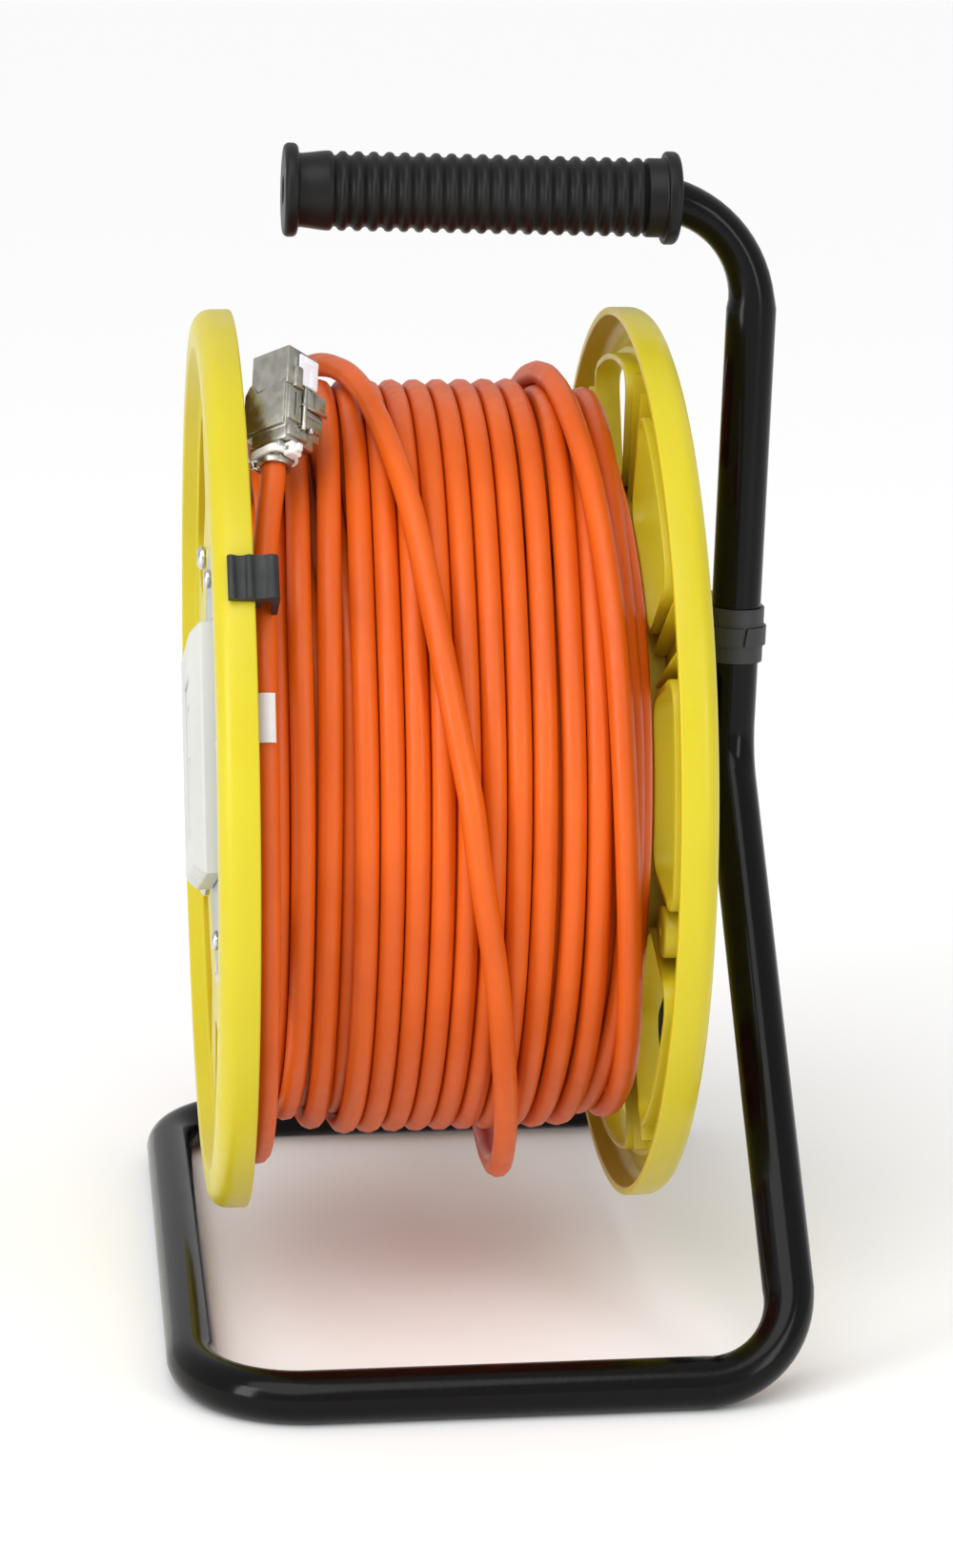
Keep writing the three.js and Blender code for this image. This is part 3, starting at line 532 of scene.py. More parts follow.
# The free end, from where it leaves the winding to the keystone jack: [X in metres, degrees up from
# the front, metres from the axle].
TAIL_ROUTE = [
    [0.03, -165, 0.1263], [0.028, -150, 0.1263], [0.026, -134, 0.1262], [0.024, -117, 0.1282],
    [0.0224, -100, 0.1314], [0.0214, -85, 0.1338], [0.0206, -72, 0.1342], [0.0196, -61, 0.1314],
    [0.018, -50, 0.1283], [0.015, -36.5, 0.1263], [0.0117, -23.9, 0.1263], [0.0082, -13.2, 0.1263],
    [0.0042, -2.5, 0.1263], [0.0016, 6.5, 0.1263], [-0.0039, 20.6, 0.1263], [-0.0072, 30.5, 0.1263],
    [-0.0122, 48, 0.1264], [-0.0168, 61, 0.1264], [-0.0222, 75.8, 0.127], [-0.0285, 89, 0.1272],
    [-0.036, 104, 0.1268], [-0.043, 121, 0.1262], [-0.0482, 140, 0.1263], [-0.052, 160, 0.1263],
    [-0.0546, 182, 0.1263], [-0.0562, 207, 0.1263], [-0.057, 232, 0.1264], [-0.0572, 258, 0.1268],
    [-0.0572, 284, 0.1274], [-0.0574, 308, 0.128], [-0.0579, 328, 0.1292], [-0.0584, 346, 0.1306],
    [-0.0586, 362, 0.1315], [-0.0586, 378.5, 0.1318], [-0.0584, 386, 0.1315], [-0.058, 394, 0.1309],
    [-0.057, 400, 0.1304], [-0.0552, 406.5, 0.1304], [-0.0539, 410.2, 0.1312], [-0.0533, 412.3, 0.1326],
    [-0.053, 413.8, 0.1337],
]


def planned_winding():
    """X and radius of every step of the winding, layer on layer, before it is settled."""
    end_angle = TAIL_ROUTE[0][1] + 360
    turns = WHOLE_TURNS + (end_angle - LEAD_OUT[1]) / 360
    count = int(round(turns * STEPS_PER_TURN))
    layered = turns - LAST_TURN
    along = np.arange(count) / STEPS_PER_TURN
    first_share = (WALL_X - LEAD_OUT[0]) / (2 * WALL_X)
    per_layer = layered / (LAYERS - 1 + first_share)
    layer_at = along / per_layer + (1 - first_share)
    layer = np.minimum(np.floor(layer_at), LAYERS).astype(int)
    share = layer_at - layer
    ahead = np.where(layer % 2 == 0, 2 * share - 1, 1 - 2 * share)
    x = ahead * WALL_X
    climb = np.clip(share * per_layer * 3.0, 0, 1)
    radius = FIRST_LAYER + LAYER_STEP * np.maximum(layer - 1 + np.where(layer > 0, climb, 1), 0)
    last = along > layered
    to_tail = (along[last] - layered) / LAST_TURN
    x[last] = WALL_X + (TAIL_ROUTE[0][0] / MM - WALL_X) * to_tail
    radius[last] = radius[~last][-1] + (TAIL_ROUTE[0][2] / MM - radius[~last][-1]) * to_tail**0.7
    return x, radius, along


def wander(rng, count, period, size):
    """A smooth random drift along the cable."""
    knots = rng.normal(0, size, int(count / period) + 3)
    at = np.arange(count) / period
    low = np.floor(at).astype(int)
    blend = at - low
    blend = blend * blend * (3 - 2 * blend)
    return knots[low] * (1 - blend) + knots[low + 1] * blend


def settled_winding():
    """Lets the planned turns push each other apart and sink onto the turns below."""
    rng = np.random.default_rng(7)
    x, radius, along = planned_winding()
    count = len(x)
    top = radius > FIRST_LAYER + LAYER_STEP * (LAYERS - 1.5)
    sideways = wander(rng, count, STEPS_PER_TURN * 0.45, 0.9)
    outward = np.abs(wander(rng, count, STEPS_PER_TURN * 0.8, 1.4))
    x = x + sideways * np.where(top, 1.0, 0.35)
    radius = radius + outward * np.where(top, 1.0, 0.2)
    rows = math.ceil(count / STEPS_PER_TURN)
    spare = rows * STEPS_PER_TURN - count
    far_away = np.full(spare, 1e3)
    diameter = 2 * CABLE_RADIUS
    fixed_end = radius[-1], x[-1]
    for step in range(PUSHING_STEPS):
        x_rows = np.concatenate([x, far_away]).reshape(rows, STEPS_PER_TURN)
        r_rows = np.concatenate([radius, far_away]).reshape(rows, STEPS_PER_TURN)
        dx = x_rows[:, None, :] - x_rows[None, :, :]
        dr = r_rows[:, None, :] - r_rows[None, :, :]
        distance = np.sqrt(dx * dx + dr * dr)
        distance[distance < 1e-6] = 1e6
        push = np.clip(diameter - distance, 0, None) / distance * PUSH
        x_rows = x_rows + (push * dx).sum(1)
        r_rows = r_rows + (push * dr).sum(1)
        x = x_rows.reshape(-1)[:count]
        radius = r_rows.reshape(-1)[:count]
        if step < SINKING_STEPS:
            radius = radius - SINK
        for values in (x, radius):
            values[1:-1] += STIFFNESS * (values[:-2] + values[2:] - 2 * values[1:-1])
        x = np.clip(x, -WALL_X, WALL_X)
        radius = np.maximum(radius, FIRST_LAYER)
        radius[-1], x[-1] = fixed_end
    return x, radius, along


def cable_route():
    """The winding's points and the free end's, in millimetres from the axle's centre."""
    x, radius, along = settled_winding()
    degrees = LEAD_OUT[1] + along * 360
    points = [on_drum(LEAD_OUT[0] - 1, LEAD_OUT[1] - 2, LEAD_OUT[2] - 2)]
    points += [on_drum(*values) for values in zip(x[2:-6], degrees[2:-6], radius[2:-6])]
    tail = [on_drum(a / MM, b, c / MM) for a, b, c in TAIL_ROUTE]
    return points, tail


def smooth_path(points, step):
    """Points a step apart on a Catmull-Rom curve through the given ones."""
    out = []
    padded = [2 * points[0] - points[1], *points, 2 * points[-1] - points[-2]]
    for i in range(1, len(padded) - 2):
        a, b, c, d = padded[i - 1 : i + 3]
        pieces = max(1, int(math.ceil((c - b).length / step)))
        for k in range(pieces):
            t = k / pieces
            spot = 2 * b + (c - a) * t + (2 * a - 5 * b + 4 * c - d) * t * t
            out.append((spot + (3 * b - a - 3 * c + d) * t**3) / 2)
    out.append(points[-1].copy())
    return out


def make_cable(material):
    winding, tail = cable_route()
    points = winding + smooth_path(tail, 8)
    curve = bpy.data.curves.new("cable", "CURVE")
    curve.dimensions = "3D"
    curve.bevel_depth = CABLE_RADIUS * MM
    curve.bevel_resolution = 3
    curve.resolution_u = 2
    curve.use_fill_caps = True
    spline = curve.splines.new("BEZIER")
    spline.bezier_points.add(len(points) - 1)
    for knot, point in zip(spline.bezier_points, points):
        knot.co = CENTRE + point * MM
        knot.handle_left_type = "AUTO"
        knot.handle_right_type = "AUTO"
    curve.materials.append(material)
    cable = bpy.data.objects.new("cable", curve)
    bpy.context.scene.collection.objects.link(cable)
    carried_by(cable, "drum", "cable_orange", "cable_winding", "cable_tail")
    return cable


# ---------------------------------------------------------------- frame pieces

TUBE_RADIUS = 8.0
TUBE_WALL = 1.6
LEG_Y = 8.4
BASE_Z = -165.84
FRAME_CORNERS = [
    (-42.1, -LEG_Y, 183.7), (105, -LEG_Y, 180.1), (99.7, -LEG_Y, 0.9), (101.4, -138.4, BASE_Z),
    (-81.2, -138.4, BASE_Z), (-81.2, 138.4, BASE_Z), (101.4, 138.4, BASE_Z), (99.7, LEG_Y, 0.9),
    (101.17, LEG_Y, 50.5),
]
FRAME_BENDS = [34, 32, 28, 34, 34, 28, 32]
# How much each bend has flattened the tube, as a share of its width.
FRAME_FLATS = [0.2, 0.05, 0.08, 0.08, 0.08, 0.08, 0.05]


def bent_path(corners, bends, flats, steps_per_bend, run_step):
    """Points round a bent tube, and for each the direction and share by which it is flattened."""
    corners = [Vector(corner) for corner in corners]
    points = [corners[0]]
    squeezes = [(Vector(), 0)]
    for i in range(1, len(corners) - 1):
        before = (corners[i] - corners[i - 1]).normalized()
        after = (corners[i + 1] - corners[i]).normalized()
        sweep = before.angle(after)
        axis = before.cross(after).normalized()
        bend = bends[i - 1]
        start = corners[i] - before * bend * math.tan(sweep / 2)
        run = start - points[-1]
        pieces = max(1, round(run.length / run_step))
        points += [points[-1] + run * k / pieces for k in range(1, pieces)]
        squeezes += [(Vector(), 0)] * (len(points) - len(squeezes))
        arm = -axis.cross(before) * bend
        middle = start - arm
        for k in range(steps_per_bend + 1):
            turned = Matrix.Rotation(sweep * k / steps_per_bend, 3, axis) @ arm
            points.append(middle + turned)
            share = flats[i - 1] * math.sin(math.pi * k / steps_per_bend) ** 0.6
            squeezes.append((turned.normalized(), share))
    run = corners[-1] - points[-1]
    pieces = max(1, round(run.length / run_step))
    points += [points[-1] + run * k / pieces for k in range(1, pieces + 1)]
    squeezes += [(Vector(), 0)] * (len(points) - len(squeezes))
    return points, squeezes


def make_frame_tube(material):
    bm = bmesh.new()
    points, squeezes = bent_path(FRAME_CORNERS, FRAME_BENDS, FRAME_FLATS, 16, 12)
    section = circle(TUBE_RADIUS, 40)
    sweep_into(bm, points, section)
    bm.verts.ensure_lookup_table()
    for i, (towards, share) in enumerate(squeezes):
        for vert in bm.verts[i * len(section) : (i + 1) * len(section)]:
            vert.co -= towards * (vert.co - points[i]).dot(towards) * share
    tube = piece_of("frame_tube_skin", bm, material, 60)
    bm = bmesh.new()
    past_end = points[-1] + (points[-1] - points[-2]).normalized()
    sweep_into(bm, [past_end, points[-2], points[-3]], circle(TUBE_RADIUS - TUBE_WALL, 32))
    boolean(tube, tool_object(bm))
    resharpen(tube, 50)
    settle(tube)
    carried_by(tube, "frame", "frame_black", "frame_tube")


# The tube's open handle end, and how far the handle falls towards the post.
HANDLE_AT = (-42.1, -LEG_Y, 183.7)
HANDLE_SLOPE = math.atan2(183.7 - 180.1, 105 + 42.1)


# One rib of the grip: (share of the pitch, share of the rib's height).
RIB_SHAPE = [
    (0.10, 0.0), (0.24, 0.25), (0.36, 0.75), (0.46, 0.96), (0.58, 1.0), (0.70, 0.96), (0.80, 0.75),
    (0.90, 0.25),
]


def make_grip(material):
    left, neck, right, shoulder = -3.3, 1.0, 121.5, 117.0
    rib, groove, flange, bore = 12.4, 11.0, 14.6, 8.3
    pitch, first, count = 4.9, 12.4, 20
    left_flange = [(left + 2.2, 4.5), (left, 4.5), (left, flange), (neck, flange), (neck + 0.4, 11.6)]
    right_flange = [(shoulder, rib + 0.4), (shoulder, flange), (right, flange), (right, 9.6)]
    outline = rounded(left_flange, [0.3, 0.4, 1.7, 1.7, 0], 5, closed=False)[1:]
    outline = [(left + 1.4, 1.6), (left + 1.4, 4.2), *outline]
    outline += [(neck + 1.4, 11.5), (neck + 4, 11.8), (neck + 7, 12.2), (neck + 9, rib)]
    outline += [(first - 1.2, rib), (first - 0.6, rib - 0.3), (first, groove + 0.2)]
    for k in range(count):
        start = first + k * pitch
        for share, height in RIB_SHAPE:
            outline.append((start + share * pitch, groove + (rib - groove) * height))
    end = first + count * pitch
    outline += [(end + 0.3, groove), (end + 0.9, rib - 0.3), (end + 1.6, rib)]
    outline += [(shoulder - 0.8, rib), (shoulder - 0.2, rib + 0.3)]
    outline += rounded(right_flange, [0, 1.8, 1.8, 0], 5, closed=False)
    outline += [(109, bore), (-0.3, bore), (-0.3, 1.6)]
    grip = object_of("handle_grip_skin", lathe_mesh("handle_grip_skin", outline, 72), material, 38)
    turn = Matrix.Translation(Vector(HANDLE_AT)) @ Matrix.Rotation(HANDLE_SLOPE, 4, "Y")
    settle(grip, turn)
    carried_by(grip, "frame", "grip_rubber", "handle_grip")


COLLAR_BOTTOM = 32.0
POST_LEAN = math.atan2(105 - 99.7, 180.1 - 0.9)


def slot_outline(radius, steps=20):
    """The outline round the two legs, radius from each leg's middle."""
    out = []
    for side, start in ((LEG_Y, 0), (-LEG_Y, math.pi)):
        for k in range(steps + 1):
            angle = start + math.pi * k / steps
            out.append((radius * math.cos(angle), side + radius * math.sin(angle)))
    return out


def make_collar(material):
    post_x = 99.7 + math.tan(POST_LEAN) * (COLLAR_BOTTOM - 0.9)
    matrix = Matrix.Translation(Vector((post_x, 0, COLLAR_BOTTOM)))
    matrix = matrix @ Matrix.Rotation(POST_LEAN, 4, "Y")
    bm = bmesh.new()
    prism_into(bm, slot_outline(9.2), 0, 17.6, 0.4, 3)
    collar = piece_of("leg_collar_skin", bm, material, 40)
    for y in (-LEG_Y, LEG_Y):
        bm = bmesh.new()
        prism_into(bm, [(a, b + y) for a, b in circle(8.2, 40)], -2, 20)
        boolean(collar, tool_object(bm))
    resharpen(collar, 40)
    settle(collar, matrix)
    carried_by(collar, "frame", "collar_plastic", "leg_collar")

    bm = bmesh.new()
    prism_into(bm, slot_outline(10.1), 5.6, 11.6, 0.3, 3)
    band = piece_of("collar_band_skin", bm, material, 40)
    bm = bmesh.new()
    prism_into(bm, slot_outline(9.25), 4, 14)
    boolean(band, tool_object(bm))
    bm = bmesh.new()
    prism_into(bm, [(-1.2, -30), (0.0, -30), (1.2, -12), (0.0, -12)], 3, 14)
    seam = tool_object(bm)
    seam.data.transform(Matrix.Rotation(math.radians(8), 4, "Y"))
    boolean(band, seam)
    resharpen(band, 40)
    settle(band, matrix)
    carried_by(band, "frame", "collar_plastic", "collar_band")


# ---------------------------------------------------------------- flanges

WINDOWS = 8
WINDOW_FIRST = 6.0
WINDOW_HALF = 15.6
WINDOW_INNER = 92.0
WINDOW_OUTER = 128.0
WINDOW_CORNER = 7.0
LIP_WIDTH = 2.2
FLANGE_SIDES = 180
# The boss on the winding side, in a spoke: (degrees, radius).
BOSS_AT = (-16.5, 113.0)
RIM_FACE = 73.3
RIM_EDGE = 61.3
RIM_RADIUS = 145.0
RIM_WALL = 2.6
RECESS_RADIUS = 71.0
RIB_OFFSET = 3.4


def kidney(grow, corner_steps=6, arc_steps=10):
    """The window's outline as (degrees from its middle, radius), with rounded corners."""
    out = []

    def corner(radius, inset, side, start):
        middle = radius + inset
        limit = math.radians(WINDOW_HALF) + grow / middle
        bearing = side * (limit - (WINDOW_CORNER + grow) / middle)
        for k in range(corner_steps + 1):
            angle = bearing + start + TURN / 4 * k / corner_steps
            a = middle * math.cos(bearing) + (WINDOW_CORNER + grow) * math.cos(angle)
            b = middle * math.sin(bearing) + (WINDOW_CORNER + grow) * math.sin(angle)
            out.append((math.atan2(b, a), math.hypot(a, b)))

    def arc():
        start = out[-1]
        stop = -start[0]
        for k in range(1, arc_steps):
            out.append((start[0] + (stop - start[0]) * k / arc_steps, start[1]))

    round_by = WINDOW_CORNER + grow
    corner(WINDOW_OUTER + grow, -round_by, 1, 0)
    corner(WINDOW_INNER - grow, round_by, 1, TURN / 4)
    arc()
    corner(WINDOW_INNER - grow, round_by, -1, TURN / 2)
    corner(WINDOW_OUTER + grow, -round_by, -1, TURN * 3 / 4)
    arc()
    return out


def kidney_points(middle_degrees, grow, x):
    outline = kidney(grow)
    return [on_drum(x, middle_degrees + math.degrees(angle), radius) for angle, radius in outline]


def shell_between(bm, loops):
    """Joins a ring of point loops, all of one length, into a closed band."""
    rings = [[bm.verts.new(point) for point in loop] for loop in loops]
    rings.append(rings[0])
    for one, two in zip(rings, rings[1:]):
        band_into(bm, one, two)


def capped_loops(bm, loops):
    """Joins point loops, all of one length, into a solid with its two ends closed."""
    rings = [[bm.verts.new(point) for point in loop] for loop in loops]
    for one, two in zip(rings, rings[1:]):
        band_into(bm, one, two)
    bm.faces.new(list(reversed(rings[0])))
    bm.faces.new(rings[-1])


def flange_outline(side, web_inner, web_outer, fillet, hole, recess):
    """The flange's section as (X, radius), each corner rounded: a flat web and a channel rim."""
    crown = RIM_FACE - RIM_WALL
    skirt = RIM_RADIUS - RIM_WALL
    floor = web_outer - recess
    corners = [
        ((web_outer, RECESS_RADIUS), 0.3), ((web_outer, 130.5), 1.6), ((RIM_FACE, 133.0), 0.9),
        ((RIM_FACE, RIM_RADIUS), fillet), ((RIM_EDGE, RIM_RADIUS), 0.7), ((RIM_EDGE, skirt), 0.5),
        ((crown, skirt), fillet - 1.5), ((crown, 134.6), 1.0), ((web_inner, 132.2), 1.2),
        ((web_inner, hole), 0.4), ((floor, hole), 0.4), ((floor, RECESS_RADIUS), 0.2),
    ]
    outline = rounded([point for point, _ in corners], [radius for _, radius in corners], 6)
    return [(side * x, radius) for x, radius in outline]


def cut_flange(flange, side, web_outer, lip_end, screws):
    """Cuts the windows and the screw holes, given as (degrees, ring radius, hole radius)."""
    bm = bmesh.new()
    for k in range(WINDOWS):
        middle = WINDOW_FIRST + k * 360 / WINDOWS
        ends = (lip_end - 6, web_outer + 6)
        capped_loops(bm, [kidney_points(middle, 0.6, side * x) for x in ends])
    for degrees, radius, drill in screws:
        hole = [(side * 55, 0), (side * 55, drill), (side * 80, drill), (side * 80, 0)]
        lathe_at(bm, hole, 20, on_drum(0, degrees, radius))
    boolean(flange, tool_object(bm))


def add_lip(bm, side, middle, web_inner, web_outer, lip_end):
    """The raised lip round a window, as (distance out from the window, X) all round its section."""
    crest = LIP_WIDTH / 2
    section = [
        (0.0, web_outer), (0.0, lip_end + 0.8), (0.25, lip_end + 0.2), (crest, lip_end),
        (LIP_WIDTH - 0.25, lip_end + 0.2), (LIP_WIDTH, lip_end + 0.8), (LIP_WIDTH, web_inner + 0.4),
        (LIP_WIDTH - 0.2, web_outer - 0.4), (crest, web_outer + 0.02),
    ]
    shell_between(bm, [kidney_points(middle, grow, side * x) for grow, x in section])


def add_boss(bm, side, web_inner, lip_end):
    outline = [
        (web_inner + 0.6, 0), (web_inner + 0.6, 8), (lip_end + 0.9, 8), (lip_end + 0.3, 7.6),
        (lip_end, 7), (lip_end, 1.6), (lip_end + 0.5, 1.2), (lip_end + 0.7, 0),
    ]
    lathe_at(bm, [(side * x, radius) for x, radius in outline], 40, on_drum(0, *BOSS_AT))


def make_flange(name, side, material, web_inner, web_outer, fillet, lip_end, hole, recess, screws):
    outline = flange_outline(side, web_inner, web_outer, fillet, hole, recess)
    flange = object_of(name + "_skin", lathe_mesh(name, outline, FLANGE_SIDES), material, 40)
    cut_flange(flange, side, web_outer, lip_end, screws)

    bm = bmesh.new()
    bm.from_mesh(flange.data)
    for k in range(WINDOWS):
        middle = WINDOW_FIRST + k * 360 / WINDOWS
        add_lip(bm, side, middle, web_inner, web_outer, lip_end)
        spoke = middle + 180 / WINDOWS
        if abs(spoke - 360 - BOSS_AT[0]) < 1:
            continue
        for offset in (-RIB_OFFSET, RIB_OFFSET):
            add_rib(bm, side, spoke + offset, 90.5, 131.2, web_inner + 0.5, lip_end + 1.4)
    add_boss(bm, side, web_inner, lip_end)
    bmesh.ops.recalc_face_normals(bm, faces=bm.faces)
    bm.to_mesh(flange.data)
    bm.free()
    resharpen(flange, 38)
    settle(flange)
    carried_by(flange, "drum", "flange_yellow", name)


def lathe_at(bm, outline, sides, offset):
    """A turned solid about a line along X through offset."""
    before = len(bm.verts)
    lathe_into(bm, outline, sides, closed=False)
    bm.verts.ensure_lookup_table()
    bmesh.ops.translate(bm, vec=offset, verts=bm.verts[before:])


def add_rib(bm, side, degrees, inner, outer, root, crest):
    """A thin radial stiffener on the side of the flange that faces the winding."""
    half = 0.7
    shoulder = crest - math.copysign(0.5, crest - root)
    loops = []
    for x, thick in ((root, half + 0.3), (shoulder, half), (crest, half - 0.25)):
        loop = []
        for radius, sign in ((inner, 1), (outer, 1), (outer, -1), (inner, -1)):
            loop.append(on_drum(side * x, degrees + math.degrees(sign * thick / radius), radius))
        loops.append(loop)
    capped_loops(bm, loops)


# ---------------------------------------------------------------- pieces kept from the CAD

def softened(name, body, slot, material, width, limit=45, smooth=40):
    """A copy of a CAD node with its sharp edges rounded, which stands in for the node."""
    bm = bmesh.new()
    bm.from_mesh(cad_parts[name].data)
    bmesh.ops.remove_doubles(bm, verts=bm.verts, dist=1e-6)
    bmesh.ops.dissolve_limit(bm, angle_limit=math.radians(1), verts=bm.verts, edges=bm.edges)
    edges = [
        edge for edge in bm.edges
        if len(edge.link_faces) == 2 and edge.calc_face_angle() > math.radians(limit)
    ]
    bmesh.ops.bevel(bm, geom=edges, offset=width * MM, segments=3, profile=0.5,
                    affect="EDGES", clamp_overlap=True)
    thing = piece_of(name + "_skin", bm, material, smooth)
    carried_by(thing, body, slot, name)


def give(material, name):
    """Puts a material on a CAD node that is shown as it is."""
    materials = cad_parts[name].data.materials
    materials.clear()
    materials.append(material)


# ---------------------------------------------------------------- screws

def screw_mesh(material, head_radius, head_height, shank_radius, length):
    """A pan-head screw along +X with a cross recess, its head's underside at X = 0."""
    tip = shank_radius * 0.7
    outline = [(-length, 0), (-length, tip), (-length + 1, shank_radius), (0, shank_radius)]
    dome = [(0.0, head_radius - 0.3), (0.3, head_radius), (head_height * 0.35, head_radius)]
    for k in range(1, 6):
        angle = TURN / 4 * k / 5
        rise = head_height * (0.35 + 0.65 * math.sin(angle))
        dome.append((rise, head_radius * (1 - 0.55 * (1 - math.cos(angle)))))
    outline += [*dome, (head_height, 0)]
    bm = bmesh.new()
    lathe_into(bm, outline, 28, closed=False)
    screw = piece_of("screw", bm, material, 40)
    arm = head_radius * 0.52
    half = head_radius * 0.11
    for y, z in ((arm, half), (half, arm)):
        box_tool(screw, (head_height * 0.45, -y, -z), (head_height + 1, y, z))
    mesh = screw.data
    bpy.data.objects.remove(screw)
    return mesh


def make_screws(material, name, first, ring, face, sizes):
    """Four screws on a ring: sizes are head radius and height, shank radius and length."""
    mesh = screw_mesh(material, *sizes)
    for k in range(4):
        degrees = first + 90 * k
        thing = bpy.data.objects.new(f"{name}_{k + 1}_head", mesh.copy())
        bpy.context.scene.collection.objects.link(thing)
        turn = Matrix.Translation(on_drum(face, degrees, ring))
        if face < 0:
            turn = turn @ Matrix.Rotation(math.pi, 4, "Z")
        turn = turn @ Matrix.Rotation(math.radians(31 * k + 17), 4, "X")
        settle(thing, turn)
        resharpen(thing, 40)
        carried_by(thing, "drum", "zinc_screw", f"{name}_{k + 1}")


# ---------------------------------------------------------------- clip and label

CLIP_DEGREES = 33.4
CLIP_WIDTH = 13.7


def make_clip(material):
    """A hook over the left rim, with a rolled lip, a crease and a leg down beside the cable."""
    corners = [
        ((-69.2, 145.5), 0.5), ((-61, 145.5), 0.4), ((-61, 142), 0.4), ((-64, 141.9), 0.5),
        ((-64, 139.9), 0.5), ((-59.4, 139.9), 0.4), ((-59.4, 145.3), 0.4), ((-56.6, 145.3), 0.5),
        ((-56.3, 134.6), 0.5), ((-54.4, 134.6), 0.7), ((-54.2, 147.0), 0.9), ((-55.4, 148.35), 0.8),
        ((-57.0, 148.3), 0.5), ((-58.2, 147.5), 0.5), ((-61.3, 147.4), 0.5), ((-62.2, 148.2), 0.4),
        ((-63.4, 148.2), 0.4), ((-64.2, 147.3), 0.5), ((-66.6, 147.3), 0.6), ((-67.6, 148.3), 0.5),
        ((-68.8, 148.2), 0.5), ((-69.3, 147.2), 0.5),
    ]
    outline = rounded([point for point, _ in corners], [radius for _, radius in corners], 3)
    bm = bmesh.new()
    prism_into(bm, outline, -CLIP_WIDTH / 2, CLIP_WIDTH / 2, 0.35, 2)
    clip = piece_of("cable_clip_skin", bm, material, 40)
    settle(clip, Matrix.Rotation(math.pi - math.radians(CLIP_DEGREES), 4, "X"))
    carried_by(clip, "drum", "clip_charcoal", "cable_clip")


LABEL_AT = (-58.6, 17.5, 131.8)
LABEL_LENGTH = 14.5


def make_label(material):
    """A stiff label wrapped part of the way round the free end."""
    inner, outer, start, stop, steps = 3.92, 4.2, 50, 168, 18
    angles = [math.radians(start + (stop - start) * k / steps) for k in range(steps + 1)]
    outline = [(outer * math.cos(angle), outer * math.sin(angle)) for angle in angles]
    outline += [(inner * math.cos(angle), inner * math.sin(angle)) for angle in reversed(angles)]
    bm = bmesh.new()
    prism_into(bm, outline, -LABEL_LENGTH / 2, LABEL_LENGTH / 2, 0.06, 1)
    label = piece_of("cable_label_skin", bm, material, 40)
    x, degrees, radius = LABEL_AT
    turn = Matrix.Translation(on_drum(x, degrees, radius))
    settle(label, turn @ Matrix.Rotation(math.pi - math.radians(degrees), 4, "X"))
    carried_by(label, "drum", "label_white", "cable_label")
    return label


# ---------------------------------------------------------------- keystone jack

KEYSTONE_AT = (-47.5, -57.2, 135.7)
KEYSTONE_TURN = (-35.5, 5, -44.2)
NECK = (-0.6, -2.8)


def keystone_matrix():
    matrix = Matrix.Translation(Vector(KEYSTONE_AT))
    for degrees, axis in zip(KEYSTONE_TURN, "XYZ"):
        matrix = matrix @ Matrix.Rotation(math.radians(degrees), 4, axis)
    return matrix


def on_keystone(thing, slot, *nodes):
    settle(thing, keystone_matrix())
    carried_by(thing, "drum", slot, *nodes)
    return thing


def joined_boxes(name, boxes, material, sharp=40):
    """Rounded boxes joined into one solid: each is (low, high, edge radius)."""
    bm = bmesh.new()
    box_into(bm, *boxes[0])
    whole = piece_of(name, bm, material, sharp)
    for low, high, bevel in boxes[1:]:
        box_tool(whole, low, high, bevel, 2, "UNION")
    resharpen(whole, sharp)
    return whole


def make_keystone_body(material):
    """The port block, the jaws behind it and their cover, with the port and its latch slot cut in."""
    body = joined_boxes("keystone_body_skin", [
        ((-7.0, -7.6, -12.6), (7.6, 5.5, 0), 0.35),
        ((-9.4, -7.3, -27.4), (7.3, 8.6, -12.2), 0.6),
        ((-6.5, -7.0, -31.0), (7.2, 6.0, -26.8), 0.7),
        ((-9.7, -5.6, -24.0), (-8.9, 5.0, -15.5), 0.3),
        ((7.0, -7.0, -24.6), (8.2, -1.3, -13.6), 0.3),
        ((6.6, 0.4, -17.6), (8.7, 9.0, -12.0), 0.5),
        ((6.8, -0.6, -24.8), (8.3, 8.2, -18.6), 0.4),
        ((6.4, -6.2, -29.6), (8.0, 2.6, -26.2), 0.4),
        ((7.2, -5.4, -13.4), (9.2, -2.2, -6.4), 0.5),
    ], material)
    cover = [
        (7.0, -26.4), (7.0, -11.4), (0.8, -12.8), (-4.0, -13.8), (-6.8, -9.4), (-8.9, -12.9),
        (-9.2, -26.2),
    ]
    bm = bmesh.new()
    prism_into(bm, rounded(cover, 0.5, 3), 7.0, 8.05, 0.2, 2)
    tool = tool_object(bm)
    tool.data.transform(Matrix.Rotation(TURN / 4, 4, "X"))
    boolean(body, tool, "UNION")
    for low, high in (((-5.6, -4.2, -14), (5.6, 4.2, 1)), ((-3.0, -6.2, -14), (3.0, -4.0, 1))):
        box_tool(body, low, high, 0.3, 1)
    for low, high in (
        ((7.6, -4.6, -22.6), (9.0, -3.9, -15.0)), ((8.3, 3.2, -17.2), (9.2, 3.8, -12.4)),
        ((8.0, 1.0, -21.4), (8.9, 7.4, -20.9)), ((8.0, -5.0, -28.4), (8.6, 1.6, -28.0)),
    ):
        box_tool(body, low, high)
    resharpen(body, 40)
    return on_keystone(body, "keystone_metal", "keystone_body")


